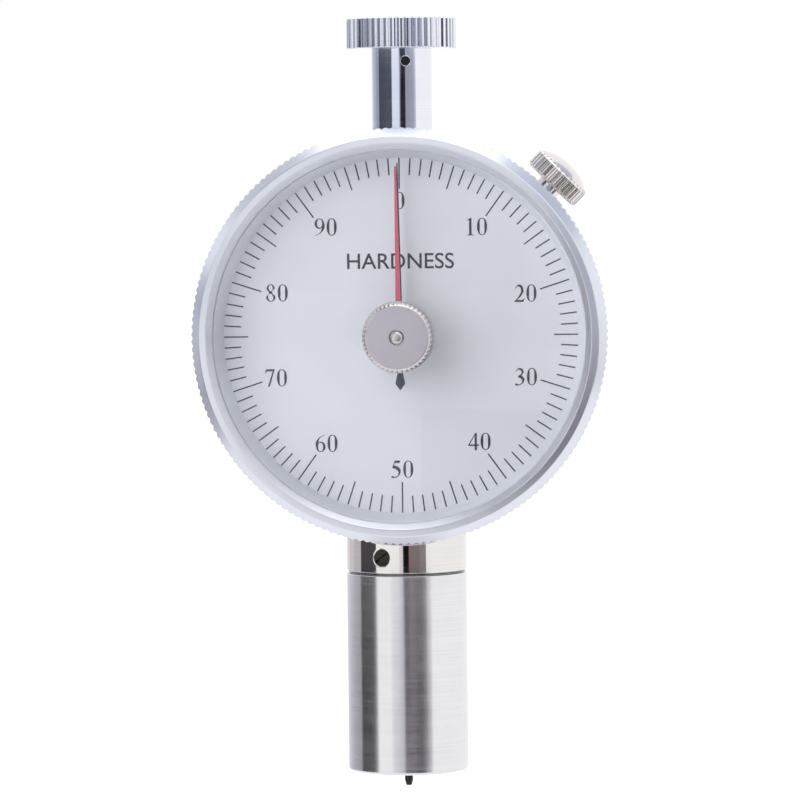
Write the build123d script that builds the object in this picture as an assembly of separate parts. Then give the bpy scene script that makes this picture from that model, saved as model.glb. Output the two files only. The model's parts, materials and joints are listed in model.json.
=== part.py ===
from build123d import *

import os
from math import acos, cos, degrees, hypot, pi, radians, sin, sqrt, tan

# Pocket dial hardness tester (durometer), in millimetres.
# The indenter's axis is Z. The origin is the centre of the presser foot's contact plane.
# The dial faces -Y, and the dial's axis is parallel to Y.

# Shared clearances
running_clearance = 0.03    # radial, on shafts, pivots and guides
fitting_clearance = 0.02    # radial, on pieces that are pressed, screwed or glued in
rotor_clearance = 0.10      # radial, between the bezel's bore and the housing's spigot
end_clearance = 0.10        # axial play of the arbors
overcut = 1.0               # how far a cutting shape stands past what it cuts
thread_fill = 0.8           # share of a threaded depth that its screw fills

# Indenter and presser foot
indenter_protrusion = 2.5
indenter_diameter = 1.25
indenter_tip_diameter = 0.79
indenter_cone_angle = 35.0
indenter_seat_depth = 11.0
foot_diameter = 18.0
foot_height = 29.8
foot_edge = 0.3
foot_floor = 2.5
foot_hole_diameter = 3.0
foot_bore_diameter = 10.0
foot_spigot_diameter = 12.0
foot_spigot_length = 3.6
foot_bush_height = 4.2
foot_bush_length = 6.0
joint_edge = 0.26

# Collar between the foot and the housing
collar_diameter = 17.9
collar_height = 4.2
collar_top_edge = 0.2
collar_rim_wall = 0.9
collar_rim_setback = 1.35
collar_sleeve_diameter = 8.0
collar_sleeve_length = 6.0
collar_bush_diameter = 6.0
collar_bush_flange = 7.4
collar_bush_flange_thickness = 0.6
set_screw_diameter = 2.5
set_screw_height = 2.5
set_screw_sink = 0.2
set_screw_recess = 0.25
set_screw_count = 3
set_screw_first_angle = -21.0

# Bezel, crystal and dial
bezel_radius = 30.7
bezel_collar_gap = 0.5
bezel_knurl_count = 172
bezel_knurl_depth = 0.26
bezel_knurl_width = 3.0
bezel_front = -13.5
bezel_chamfer_radial = 1.3
bezel_chamfer_axial = 1.9
bezel_land_radial = 1.05
bezel_land_axial = 0.2
bezel_aperture_radius = 27.5
bezel_bevel_axial = 0.75
skirt_step = 1.3
skirt_wall = 1.25
skirt_rear = -4.6
crystal_thickness = 1.0
crystal_lip = 0.1
gasket_thickness = 0.5
dial_front = -7.3
dial_thickness = 0.5
dial_hole_radius = 1.5
dial_ring_foot_radius = 26.3
dial_ring_lip_radius = 27.3

# Housing
drum_radius = 29.0
drum_wall = 2.4
drum_front = -4.4
drum_rear = 7.7
spigot_play = 0.2
snap_groove_depth = 0.55
snap_groove_width = 0.5
snap_groove_offset = 0.55
snap_ring_gap_angle = 16.0
cover_thickness = 1.5
cover_edge = 0.4
cover_rim_wall = 0.8
cover_rim_height = 0.8
lug_count = 4
lug_inner_radius = 20.5
lug_width = 9.0
lug_depth = 2.9
lug_screw_offset = 1.8
small_screw_diameter = 2.0
small_screw_head = 3.8

# Stem, load spring and cap
stem_diameter = 9.0
stem_length = 12.7
stem_root_diameter = 8.0
stem_root_depth = 6.5
stem_bore_diameter = 6.0
stem_stud_diameter = 7.4
stem_stud_length = 2.5
stem_boss_diameter = 12.0
stem_skirt_gap = 0.4
cross_hole_diameter = 1.34
cross_hole_drop = 1.9
cross_hole_angle = 12.0
cross_hole_sink = 0.15
stem_bush_flange_thickness = 0.8
adjuster_length = 4.2
adjuster_recess = 0.8
adjuster_slot_width = 0.8
adjuster_slot_depth = 0.8
cap_diameter = 16.3
cap_height = 4.8
cap_dome = 0.3
cap_edge = 0.12
cap_flute_count = 48
cap_flute_depth = 0.35
spring_wire = 0.6
spring_wire_sides = 6
spring_mean_diameter = 4.5
spring_length = 10.0
spring_turns = 4.5
spring_seat_thickness = 0.7
spring_seat_diameter = 5.6
pilot_diameter = 2.4

# Spindle, rack and guide pin
spindle_travel = 2.5
spindle_diameter = 4.0
spindle_foot_gap = 0.5
spindle_shoulder_gap = 0.5
grub_screw_diameter = 1.6
grub_screw_inset = 1.0
guide_pin_diameter = 1.6
guide_pin_drop = 19.2
guide_pin_overhang = 0.6
guide_slot_clearance = 0.05

# Gear train: one turn of the pointer over the spindle's travel
rack_pitch = 1.25
rack_pinion_teeth = 12
wheel_teeth = 60
centre_pinion_teeth = 10
wheel_module = 0.3
rack_pitch_line = -1.0
pressure_angle = 20.0
tooth_backlash = 0.08
rack_addendum = 0.7
wheel_addendum = 0.6
pinion_addendum = 1.0
pinion_dedendum = 1.0
wheel_dedendum = 1.25
rack_dedendum = 1.25
rack_pinion_width = 2.6
wheel_front = -5.0
wheel_thickness = 0.8
wheel_rim_width = 1.025
wheel_hub_diameter = 6.4
wheel_window_count = 4
centre_pinion_overhang = 0.2

# Movement plates, pillars and arbors
front_plate_front = -6.4
front_plate_thickness = 1.0
front_plate_radius = 18.8
rear_plate_thickness = 1.2
rear_plate_radius = 24.0
notch_clearance = 0.3
bridge_front = -3.4
bridge_thickness = 0.8
bridge_width = 5.0
bridge_half_length = 8.4
bridge_angle = -17.4
pillar_diameter = 3.0
pillar_circle_radius = 16.6
pillar_angles = (20.0, 120.0, 200.0, 300.0)
plate_screw_diameter = 1.4
plate_screw_head = 2.4
plate_screw_head_height = 0.6
arbor_diameter = 1.6
pivot_diameter = 1.0
pivot_bush_diameter = 2.2
centre_arbor_diameter = 1.2

# Take-up spring
hairspring_turns = 4
hairspring_pitch = 0.55
hairspring_strip = 0.12
hairspring_width = 0.6
hairspring_front = 2.4
collet_diameter = 2.6
stud_diameter = 1.0

# Pointer and drag hand
pointer_plane = -9.7
pointer_rest_angle = 0.3    # anticlockwise of the zero mark
drag_hand_rest_angle = 0.7
pointer_thickness = 0.2
pointer_length = 25.5
pointer_root_width = 1.0
pointer_tip_width = 0.16
pointer_hub_diameter = 3.4
pointer_hub_depth = 0.9
pointer_boss_diameter = 2.8
tail_length = 8.0
tail_neck_width = 0.7
tail_neck_end = 5.2
tail_wide_place = 7.0
tail_width = 1.45
drag_hand_plane = -11.3
drag_hand_thickness = 0.15
drag_hand_length = 25.0
drag_hand_root_width = 0.9
drag_hand_tip_width = 0.28
drag_hand_hub_diameter = 3.6
drag_hand_lug_place = 12.0
drag_hand_lug_depth = 0.7
drag_shaft_diameter = 1.75
drag_shaft_front = -16.7
crystal_bush_diameter = 3.2
crystal_bush_flange_diameter = 6.4
crystal_bush_flange_thickness = 0.3
drag_knob_flange_front = -13.9
drag_knob_flange_thickness = 0.6
drag_knob_flange_diameter = 10.6
drag_knob_diameter = 10.2
drag_knob_front = -16.2
drag_knob_face_diameter = 9.2
drag_knob_bevel = 0.5
drag_knob_teeth = 44
drag_knob_tooth_depth = 0.25
drag_knob_pin_recess_diameter = 2.2
drag_knob_pin_recess_depth = 0.3
drag_knob_underside_diameter = 7.6
drag_knob_underside_depth = 0.5
friction_washer_diameter = 5.6
friction_washer_thickness = 0.15

# Bezel clamp
clamp_angle = 45.0
clamp_axis_y = 0.8
clamp_boss_diameter = 9.0
clamp_boss_gap = 0.1
clamp_plate_gap = 0.05
clamp_plate_thickness = 0.6
clamp_plate_width = 6.0
clamp_plate_rear = 4.0
clamp_lip_setback = 1.2
clamp_lip_clearance = 0.05
clamp_screw_diameter = 3.0
clamp_screw_clearance = 0.1
clamp_screw_depth = 4.0
clamp_hub_diameter = 3.8
clamp_hub_height = 1.05
clamp_knob_diameter = 9.4
clamp_knob_height = 2.8
clamp_knob_dome = 1.3
clamp_knob_bore_share = 0.7      # of the knob's height
clamp_dome_middle_place = 0.6    # of the dome's radius
clamp_dome_middle_rise = 0.72    # of the dome's height
clamp_knob_teeth = 32
clamp_knob_tooth_depth = 0.3

# Heights that follow
collar_top = foot_height + collar_height
dial_height = collar_top + bezel_collar_gap + bezel_radius
skirt_radius = bezel_radius - skirt_step
skirt_bore_radius = skirt_radius - skirt_wall
clamp_boss_radius = skirt_radius + clamp_boss_gap
spigot_radius = skirt_bore_radius - rotor_clearance
drum_bore_radius = drum_radius - drum_wall
stem_base = dial_height + skirt_radius + stem_skirt_gap
stem_top = stem_base + stem_length
stem_root = stem_base - stem_root_depth
cap_top = stem_top + cap_height
adjuster_top = stem_top - adjuster_recess
adjuster_bottom = adjuster_top - adjuster_length
spring_bottom = adjuster_bottom - spring_length
spindle_shoulder = spring_bottom - spring_seat_thickness
stem_bush_top = spindle_shoulder - spindle_shoulder_gap
spindle_bottom = foot_floor + spindle_foot_gap
guide_pin_height = dial_height - guide_pin_drop
collar_sleeve_top = collar_top + collar_sleeve_length
collar_bush_top = collar_sleeve_top + collar_bush_flange_thickness

# Depths that follow
dial_back = dial_front + dial_thickness
spigot_front = dial_back + spigot_play
crystal_front = bezel_front + bezel_bevel_axial + crystal_lip
crystal_back = crystal_front + crystal_thickness
gasket_back = crystal_back + gasket_thickness
bezel_knurl_front = bezel_front + bezel_chamfer_axial + bezel_land_axial
bezel_knurl_rear = bezel_knurl_front + bezel_knurl_width
clamp_lip_front = bezel_knurl_rear + clamp_lip_setback
cover_front = drum_rear
cover_back = drum_rear + cover_thickness
lug_front = drum_rear - lug_depth
rear_plate_front = lug_front - rear_plate_thickness
front_plate_back = front_plate_front + front_plate_thickness
bridge_back = bridge_front + bridge_thickness
wheel_back = wheel_front + wheel_thickness

# Gear sizes and places that follow
rack_module = rack_pitch / pi
rack_pinion_radius = rack_module * rack_pinion_teeth / 2
wheel_radius = wheel_module * wheel_teeth / 2
centre_distance = wheel_radius + wheel_module * centre_pinion_teeth / 2
wheel_window_outer = wheel_radius - wheel_dedendum * wheel_module - wheel_rim_width
wheel_window_radius = (wheel_window_outer - wheel_hub_diameter / 2) / 2
wheel_window_place = wheel_window_outer - wheel_window_radius
arbor_x = rack_pitch_line - rack_pinion_radius
arbor_drop = sqrt(centre_distance**2 - arbor_x**2)
rack_arbor_place = (arbor_x, dial_height - arbor_drop)
takeup_arbor_place = (-arbor_x, dial_height + arbor_drop)
centre_place = (0.0, dial_height)
mesh_angle = degrees(acos(-arbor_x / centre_distance))
rack_spaces = round(spindle_travel / rack_pitch) + 3
rack_flat_margin = 2.2 * rack_pitch


# ---------------------------------------------------------------- helpers

def plate(profile, front, back, place=centre_place):
    """Extrude a flat profile, drawn with +X right and +Z up, from y=front to y=back."""
    face_plane = Plane(origin=(place[0], back, place[1]), x_dir=(1, 0, 0), z_dir=(0, -1, 0))
    return extrude(face_plane * profile, amount=back - front)


def disc(radius, front, back, place=centre_place):
    return plate(Circle(radius), front, back, place)


def turned_y(outline, place=centre_place):
    """Revolve a closed (radius, y) outline about the Y line through place."""
    profile = make_face(Polyline(*outline, close=True))
    return Pos(place[0], 0, place[1]) * revolve(profile, Axis.Y)


def turned_z(outline):
    """Revolve a closed (radius, z) outline about the Z axis."""
    return revolve(Plane.XZ * make_face(Polyline(*outline, close=True)), Axis.Z)


def rod(radius, bottom, top):
    return Pos(0, 0, bottom) * extrude(Circle(radius), amount=top - bottom)


def tube(outer_radius, inner_radius, bottom, top):
    return rod(outer_radius, bottom, top) - rod(inner_radius, bottom, top)


def ring(outer_radius, inner_radius, front, back, place=centre_place):
    return plate(Circle(outer_radius) - Circle(inner_radius), front, back, place)


def polar(radius, angle):
    """A point at a radius and an angle in degrees, counter-clockwise from +X."""
    return (radius * cos(radians(angle)), radius * sin(radians(angle)))


def on_dial(radius, angle):
    """The (x, z) place at a radius and angle about the dial's centre."""
    x, z = polar(radius, angle)
    return (x, dial_height + z)


def toothed_disc(radius, depth, count):
    """A round outline cut by straight V grooves."""
    step = 360 / count
    corners = []
    for number in range(count):
        corners.append(polar(radius, number * step))
        corners.append(polar(radius - depth, (number + 0.5) * step))
    return make_face(Polyline(*corners, close=True))


def involute(angle):
    return tan(angle) - angle


def gear_outline(teeth, module, addendum, dedendum, first_angle):
    """An involute gear, one tooth centred on first_angle. Each flank is one arc."""
    pitch_radius = module * teeth / 2
    base_radius = pitch_radius * cos(radians(pressure_angle))
    tip_radius = pitch_radius + addendum * module
    root_radius = pitch_radius - dedendum * module
    flank_radius = max(base_radius, root_radius)
    middle_radius = (flank_radius + tip_radius) / 2
    pitch_half = pi / 2 / teeth - tooth_backlash / 4 / pitch_radius

    def half_angle(radius):
        turned = involute(radians(pressure_angle)) - involute(acos(base_radius / radius))
        return degrees(pitch_half + turned)

    step = 360 / teeth
    edges = []
    for number in range(teeth):
        middle = first_angle + number * step
        root_start = polar(root_radius, middle - half_angle(flank_radius))
        root_end = polar(root_radius, middle + half_angle(flank_radius))
        rising = [polar(r, middle - half_angle(r)) for r in (flank_radius, middle_radius, tip_radius)]
        falling = [polar(r, middle + half_angle(r)) for r in (tip_radius, middle_radius, flank_radius)]
        if flank_radius > root_radius:
            edges.append(Line(root_start, rising[0]))
            edges.append(Line(falling[2], root_end))
        edges.append(ThreePointArc(*rising))
        edges.append(Line(rising[2], falling[0]))
        edges.append(ThreePointArc(*falling))
        next_root = polar(root_radius, middle + step - half_angle(flank_radius))
        edges.append(Line(root_end, next_root))
    return make_face(edges)


def slotted_screw(diameter, length, head_diameter, head_height, countersunk=False):
    """A slotted screw down local -Z from its head's top at the local origin."""
    shank_radius = diameter / 2
    head_radius = head_diameter / 2
    head_root = shank_radius if countersunk else head_radius
    outline = [(0, 0), (head_radius, 0), (head_root, -head_height)]
    if not countersunk:
        outline.append((shank_radius, -head_height))
    outline += [(shank_radius, -length), (0, -length)]
    slot = Box(head_diameter, head_diameter / 5, head_height)
    return turned_z(outline) - slot


def set_screw(diameter, length):
    """A headless slotted screw down local -Z from the local origin."""
    body = Pos(0, 0, -length / 2) * Cylinder(diameter / 2, length)
    slot = Box(diameter, diameter / 5, diameter / 2)
    return body - slot


def screw_at(screw, point, outward, slot_turn=0.0):
    """Place a screw with its head at a point and its head's face looking outward."""
    return Plane(origin=point, z_dir=outward).location * (Rot(0, 0, slot_turn) * screw)


def spindle_direction(angle):
    """A direction square to Z, at an angle from the front (-Y) toward +X."""
    return (sin(radians(angle)), -cos(radians(angle)), 0)


def radial_bore(radius, inner, outer, height, angle):
    """A round bar from one radius to another, square to the indenter's axis."""
    x, y, z = spindle_direction(angle)
    start = Plane(origin=(x * inner, y * inner, height), z_dir=(x, y, z))
    return start.location * (Pos(0, 0, (outer - inner) / 2) * Cylinder(radius, outer - inner))


def radial_sink(radius, depth, outer, height, angle):
    """A short cone that breaks the edge of a radial bore at radius outer."""
    x, y, z = spindle_direction(angle)
    start = Plane(origin=(x * outer, y * outer, height), z_dir=(x, y, z))
    cone = Cone(radius, radius + 2 * depth, 2 * depth)
    return start.location * cone


# ---------------------------------------------------------------- foot, collar and indenter

def set_screw_angles():
    return [set_screw_first_angle + 360 / set_screw_count * n for n in range(set_screw_count)]


def make_presser_foot():
    outer = foot_diameter / 2
    spigot = foot_spigot_diameter / 2
    bore = foot_bore_diameter / 2
    hole = foot_hole_diameter / 2
    spigot_top = foot_height + foot_spigot_length
    return turned_z([
        (hole, 0), (outer - foot_edge, 0), (outer, foot_edge),
        (outer, foot_height - joint_edge), (outer - joint_edge, foot_height),
        (spigot, foot_height), (spigot, spigot_top), (bore, spigot_top),
        (bore, foot_floor), (hole, foot_floor),
    ])


def make_foot_guide_bush():
    outer = foot_bore_diameter / 2 - fitting_clearance
    inner = spindle_diameter / 2 + running_clearance
    return tube(outer, inner, foot_bush_height, foot_bush_height + foot_bush_length)


def make_collar_rim():
    """The collar's wall round the housing's boss, cut to the drum and kept clear of the bezel."""
    outer = collar_diameter / 2
    rim = tube(outer, outer - collar_rim_wall, collar_top - overcut, dial_height - drum_bore_radius)
    rim &= Pos(0, collar_rim_setback, collar_top) * Box(2 * outer, 2 * outer, 2 * drum_radius)
    rim -= disc(skirt_radius + bezel_collar_gap, bezel_front, drum_front)
    return rim - disc(drum_radius + fitting_clearance, bezel_front, cover_back + overcut)


def make_collar():
    outer = collar_diameter / 2
    sleeve = collar_sleeve_diameter / 2
    socket = foot_spigot_diameter / 2 + fitting_clearance
    socket_top = foot_height + foot_spigot_length + end_clearance
    bore = collar_bush_diameter / 2
    body = turned_z([
        (socket, foot_height), (outer - joint_edge, foot_height), (outer, foot_height + joint_edge),
        (outer, collar_top - collar_top_edge), (outer - collar_top_edge, collar_top), (sleeve, collar_top),
        (sleeve, collar_sleeve_top), (bore, collar_sleeve_top), (bore, socket_top), (socket, socket_top),
    ])
    body += make_collar_rim()
    height = foot_height + set_screw_height
    radius = set_screw_diameter / 2 + fitting_clearance
    for angle in set_screw_angles():
        body -= radial_bore(radius, foot_spigot_diameter / 2 - overcut, outer + overcut, height, angle)
        body -= radial_sink(radius, set_screw_sink, outer, height, angle)
    return body


def make_collar_set_screws():
    outer = collar_diameter / 2 - set_screw_recess
    length = outer - foot_spigot_diameter / 2 - end_clearance
    screw = set_screw(set_screw_diameter, length)
    screws = []
    for angle in set_screw_angles():
        x, y, z = spindle_direction(angle)
        point = (x * outer, y * outer, foot_height + set_screw_height)
        screws.append(screw_at(screw, point, (x, y, z), slot_turn=35))
    return Compound(children=screws)


def make_collar_guide_bush():
    bore = spindle_diameter / 2 + running_clearance
    outer = collar_bush_diameter / 2 - fitting_clearance
    flange = collar_bush_flange / 2
    return turned_z([
        (bore, collar_top), (outer, collar_top), (outer, collar_sleeve_top), (flange, collar_sleeve_top),
        (flange, collar_bush_top), (bore, collar_bush_top),
    ])


def make_indenter():
    shank = indenter_diameter / 2
    tip = indenter_tip_diameter / 2
    cone_length = (shank - tip) / tan(radians(indenter_cone_angle / 2))
    top = spindle_bottom + indenter_seat_depth
    return turned_z([
        (0, -indenter_protrusion), (tip, -indenter_protrusion),
        (shank, -indenter_protrusion + cone_length), (shank, top), (0, top),
    ])


def grub_screw_height():
    return spindle_bottom + indenter_seat_depth - grub_screw_inset


def make_indenter_grub_screw():
    outer = spindle_diameter / 2 - 2 * fitting_clearance
    length = outer - indenter_diameter / 2 - fitting_clearance
    screw = set_screw(grub_screw_diameter, length)
    return screw_at(screw, (outer, 0, grub_screw_height()), (1, 0, 0))


# ---------------------------------------------------------------- spindle

def rack_gap():
    """One space between rack teeth, in the X-Z plane, centred on z=0."""
    angle = tan(radians(pressure_angle))
    tip_x = rack_pitch_line - rack_addendum * rack_module
    root_x = rack_pitch_line + rack_dedendum * rack_module
    half_pitch_gap = rack_pitch / 4 + tooth_backlash / 4
    mouth_x = tip_x - rack_module
    mouth_half = half_pitch_gap + (rack_pitch_line - mouth_x) * angle
    root_half = half_pitch_gap - (root_x - rack_pitch_line) * angle
    return make_face(Polyline(
        (mouth_x, -mouth_half), (root_x, -root_half), (root_x, root_half), (mouth_x, mouth_half),
        close=True,
    ))


def make_spindle():
    radius = spindle_diameter / 2
    pilot = pilot_diameter / 2
    pilot_top = adjuster_bottom + adjuster_recess
    body = rod(radius, spindle_bottom, spindle_shoulder) + rod(pilot, spindle_shoulder, pilot_top)

    tip_x = rack_pitch_line - rack_addendum * rack_module
    flat_top = rack_arbor_place[1] + rack_flat_margin
    flat_bottom = rack_arbor_place[1] - spindle_travel - rack_flat_margin
    flat = Pos(tip_x - radius, 0, (flat_top + flat_bottom) / 2)
    body -= flat * Box(2 * radius, spindle_diameter + overcut, flat_top - flat_bottom)
    gaps = Part()
    for number in range(rack_spaces):
        height = rack_arbor_place[1] + (1 - number) * rack_pitch
        gap_plane = Plane(origin=(0, radius + overcut, height), x_dir=(1, 0, 0), z_dir=(0, -1, 0))
        gaps += extrude(gap_plane * rack_gap(), amount=spindle_diameter + 2)
    body -= gaps

    body -= rod(indenter_diameter / 2 + fitting_clearance, spindle_bottom,
                spindle_bottom + indenter_seat_depth + end_clearance)
    screw_hole = Plane(origin=(0, 0, grub_screw_height()), z_dir=(1, 0, 0))
    hole_radius = grub_screw_diameter / 2 + fitting_clearance
    body -= screw_hole.location * (Pos(0, 0, radius / 2) * Cylinder(hole_radius, radius + 2 * end_clearance))
    pin_hole = Plane(origin=(0, 0, guide_pin_height), z_dir=(0, 1, 0))
    pin_hole_radius = guide_pin_diameter / 2 + fitting_clearance
    body -= pin_hole.location * (Pos(0, 0, radius) * Cylinder(pin_hole_radius, 2 * radius))
    return body


def make_guide_pin():
    back = rear_plate_front + rear_plate_thickness + guide_pin_overhang
    return disc(guide_pin_diameter / 2, fitting_clearance, back, (0, guide_pin_height))


def make_spring_seat():
    bore = pilot_diameter / 2 + fitting_clearance
    return tube(spring_seat_diameter / 2, bore, spindle_shoulder, spring_bottom)


# ---------------------------------------------------------------- stem, load spring and cap

def cross_hole_height():
    return stem_top - cross_hole_drop


def make_stem():
    outer = stem_diameter / 2
    root = stem_root_diameter / 2
    bore = stem_bore_diameter / 2
    stud = stem_stud_diameter / 2
    stud_top = stem_top + stem_stud_length
    body = turned_z([
        (bore, stem_root), (root, stem_root), (root, stem_base), (outer, stem_base),
        (outer, stem_top), (stud, stem_top), (stud, stud_top), (bore, stud_top),
    ])
    radius = cross_hole_diameter / 2
    height = cross_hole_height()
    body -= radial_bore(radius, bore / 2, outer + overcut, height, cross_hole_angle)
    body -= radial_sink(radius, cross_hole_sink, outer, height, cross_hole_angle)
    return body


def make_stem_guide_bush():
    bore = spindle_diameter / 2 + running_clearance
    outer = stem_bore_diameter / 2 - fitting_clearance
    flange = stem_root_diameter / 2
    return turned_z([
        (bore, stem_root - stem_bush_flange_thickness), (flange, stem_root - stem_bush_flange_thickness),
        (flange, stem_root), (outer, stem_root), (outer, stem_bush_top), (bore, stem_bush_top),
    ])


def make_spring_adjuster():
    outer = stem_bore_diameter / 2 - fitting_clearance
    bore = pilot_diameter / 2 + running_clearance
    body = tube(outer, bore, adjuster_bottom, adjuster_top)
    slot_place = Pos(0, 0, adjuster_top - adjuster_slot_depth / 2)
    return body - slot_place * Box(stem_bore_diameter, adjuster_slot_width, adjuster_slot_depth)


def make_adjuster_lock_screw():
    inner = stem_bore_diameter / 2 + end_clearance
    outer = (stem_bore_diameter + stem_diameter) / 4
    radius = cross_hole_diameter / 2 - fitting_clearance
    return radial_bore(radius, inner, outer, cross_hole_height(), cross_hole_angle)


def make_main_spring():
    wire = spring_wire / 2
    start = spring_bottom + wire + fitting_clearance
    height = spring_length - spring_wire - 2 * fitting_clearance
    path = Pos(0, 0, start) * Helix(height / spring_turns, height, spring_mean_diameter / 2)
    section = Plane(origin=path @ 0, z_dir=path % 0) * RegularPolygon(wire, spring_wire_sides)
    return sweep(section, path, is_frenet=True)


def make_top_cap():
    outer = cap_diameter / 2
    socket = stem_stud_diameter / 2 + fitting_clearance
    socket_top = stem_top + stem_stud_length + end_clearance
    shoulder = cap_top - cap_dome
    dome = ThreePointArc((0, cap_top), ((outer - cap_edge) / 2, cap_top - cap_dome / 4),
                         (outer - cap_edge, shoulder))
    sides = Polyline((outer - cap_edge, shoulder), (outer, shoulder - cap_edge),
                     (outer, stem_top), (socket, stem_top), (socket, socket_top), (0, socket_top),
                     (0, cap_top))
    blank = revolve(Plane.XZ * make_face([dome] + sides.edges()), Axis.Z)
    flutes = extrude(toothed_disc(outer, cap_flute_depth, cap_flute_count), amount=cap_height)
    return blank & (Pos(0, 0, stem_top) * flutes)


# ---------------------------------------------------------------- housing

def lug_angles():
    return [45 + 360 / lug_count * n for n in range(lug_count)]


def lug_place(angle, radius, offset):
    """A place on a lug, at a radius and a sideways offset."""
    return on_dial(hypot(radius, offset), angle + degrees(offset / radius))


def movement_screw_places():
    radius = (lug_inner_radius + rear_plate_radius) / 2
    return [lug_place(angle, radius, -lug_screw_offset) for angle in lug_angles()]


def cover_screw_places():
    radius = (rear_plate_radius + drum_bore_radius) / 2 - 1
    return [lug_place(angle, radius, lug_screw_offset) for angle in lug_angles()]


def clamp_plane(radius):
    """Origin on the clamp's axis at a radius from the dial's centre; local Z is outward."""
    turn = radians(clamp_angle)
    outward = (sin(turn), 0, cos(turn))
    origin = (outward[0] * radius, clamp_axis_y, dial_height + outward[2] * radius)
    return Plane(origin=origin, x_dir=(0, -1, 0), z_dir=outward)


def clamp_bar(diameter, inner, outer):
    bar = Pos(0, 0, (outer - inner) / 2) * Cylinder(diameter / 2, outer - inner)
    return clamp_plane(inner).location * bar


def rear_of_shoulder():
    """The space behind the bezel, where the housing's bosses may stand."""
    size = 8 * bezel_radius
    depth = drum_rear - drum_front
    return Pos(0, drum_front + depth / 2, dial_height) * Box(size, depth, size)


def make_case_body():
    groove_front = drum_front - snap_groove_offset - snap_groove_width
    groove_radius = spigot_radius - snap_groove_depth
    shell = turned_y([
        (drum_bore_radius, spigot_front), (spigot_radius, spigot_front), (spigot_radius, groove_front),
        (groove_radius, groove_front), (groove_radius, groove_front + snap_groove_width),
        (spigot_radius, groove_front + snap_groove_width), (spigot_radius, drum_front),
        (drum_radius, drum_front), (drum_radius, drum_rear), (drum_bore_radius, drum_rear),
    ])
    wall_middle = (drum_radius + drum_bore_radius) / 2
    collar_boss = collar_diameter / 2 - collar_rim_wall - fitting_clearance
    bosses = rod(collar_boss, collar_top, dial_height - wall_middle + 2 * overcut)
    bosses += rod(stem_boss_diameter / 2, dial_height + wall_middle - 2 * overcut, stem_base)
    bosses += clamp_bar(clamp_boss_diameter, wall_middle - overcut, clamp_boss_radius)
    inside = disc(drum_bore_radius, spigot_front - overcut, drum_rear + overcut)
    shell += (bosses & rear_of_shoulder()) - inside

    lug_length = wall_middle - lug_inner_radius
    lug_profile = Pos(lug_inner_radius + lug_length / 2, 0) * Rectangle(lug_length, lug_width)
    for angle in lug_angles():
        shell += plate(Rot(0, 0, angle) * lug_profile, lug_front, drum_rear)
    hole = small_screw_diameter / 2 + fitting_clearance
    for place in movement_screw_places() + cover_screw_places():
        shell -= disc(hole, lug_front - overcut, drum_rear + overcut, place)

    sleeve_hole = collar_sleeve_diameter / 2 + fitting_clearance
    stem_hole = stem_root_diameter / 2 + fitting_clearance
    shell -= rod(sleeve_hole, collar_top - overcut, dial_height - lug_inner_radius)
    shell -= rod(stem_hole, dial_height + lug_inner_radius, stem_base + overcut)
    shell -= clamp_bar(clamp_screw_diameter + 2 * clamp_screw_clearance, lug_inner_radius,
                       clamp_boss_radius + overcut)
    return shell


def make_bezel_snap_ring():
    front = drum_front - snap_groove_offset - snap_groove_width + fitting_clearance
    back = front + snap_groove_width - 2 * fitting_clearance
    inner = spigot_radius - snap_groove_depth + rotor_clearance / 2
    outer = skirt_bore_radius + snap_groove_depth - rotor_clearance
    whole = ring(outer, inner, front, back)
    half_gap = outer * tan(radians(snap_ring_gap_angle / 2))
    mouth = Pos(outer / 2 + inner / 2, 0) * Rectangle(outer - inner + 4, 2 * half_gap)
    return whole - plate(Rot(0, 0, 180) * mouth, front - overcut, back + overcut)


def make_back_cover():
    rim_outer = drum_bore_radius - rotor_clearance
    rim_front = cover_front - cover_rim_height
    body = turned_y([
        (0, cover_front), (rim_outer - cover_rim_wall, cover_front), (rim_outer - cover_rim_wall, rim_front),
        (rim_outer, rim_front), (rim_outer, cover_front), (drum_radius, cover_front),
        (drum_radius, cover_back - cover_edge), (drum_radius - cover_edge, cover_back), (0, cover_back),
    ])
    notch_length = rim_outer
    notch = Pos(notch_length, 0) * Rectangle(notch_length, lug_width + 2 * rotor_clearance)
    for angle in lug_angles():
        body -= plate(Rot(0, 0, angle) * notch, rim_front - overcut, cover_front)
    shank = small_screw_diameter / 2 + fitting_clearance
    head = small_screw_head / 2 + 2 * fitting_clearance
    head_height = head - shank
    for place in cover_screw_places():
        body -= turned_y([
            (0, cover_front - overcut), (shank, cover_front - overcut),
            (shank, cover_back - head_height), (head, cover_back),
            (head, cover_back + overcut), (0, cover_back + overcut),
        ], place)
    return body


def make_back_cover_screws():
    head_height = (small_screw_head - small_screw_diameter) / 2
    screw = slotted_screw(small_screw_diameter, cover_thickness + lug_depth * thread_fill, small_screw_head,
                          head_height, countersunk=True)
    screws = [screw_at(screw, (x, cover_back - fitting_clearance, z), (0, 1, 0), slot_turn=25 + 50 * n)
              for n, (x, z) in enumerate(cover_screw_places())]
    return Compound(children=screws)


# ---------------------------------------------------------------- movement plates

def pillar_places():
    return [on_dial(pillar_circle_radius, angle) for angle in pillar_angles]


def bridge_pillar_places():
    radius = bridge_half_length
    return [on_dial(radius, bridge_angle), on_dial(radius, bridge_angle + 180)]


def make_front_plate():
    body = disc(front_plate_radius, front_plate_front, front_plate_back)
    bush = pivot_bush_diameter / 2 + fitting_clearance
    for place in (rack_arbor_place, centre_place, takeup_arbor_place):
        body -= disc(bush, front_plate_front - overcut, front_plate_back + overcut, place)
    shank = plate_screw_diameter / 2 + fitting_clearance
    head = plate_screw_head / 2 + fitting_clearance
    sink = front_plate_front + plate_screw_head_height
    for place in pillar_places() + bridge_pillar_places():
        body -= disc(head, front_plate_front - overcut, sink, place)
        body -= disc(shank, front_plate_front, front_plate_back + overcut, place)
    return body


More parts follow.
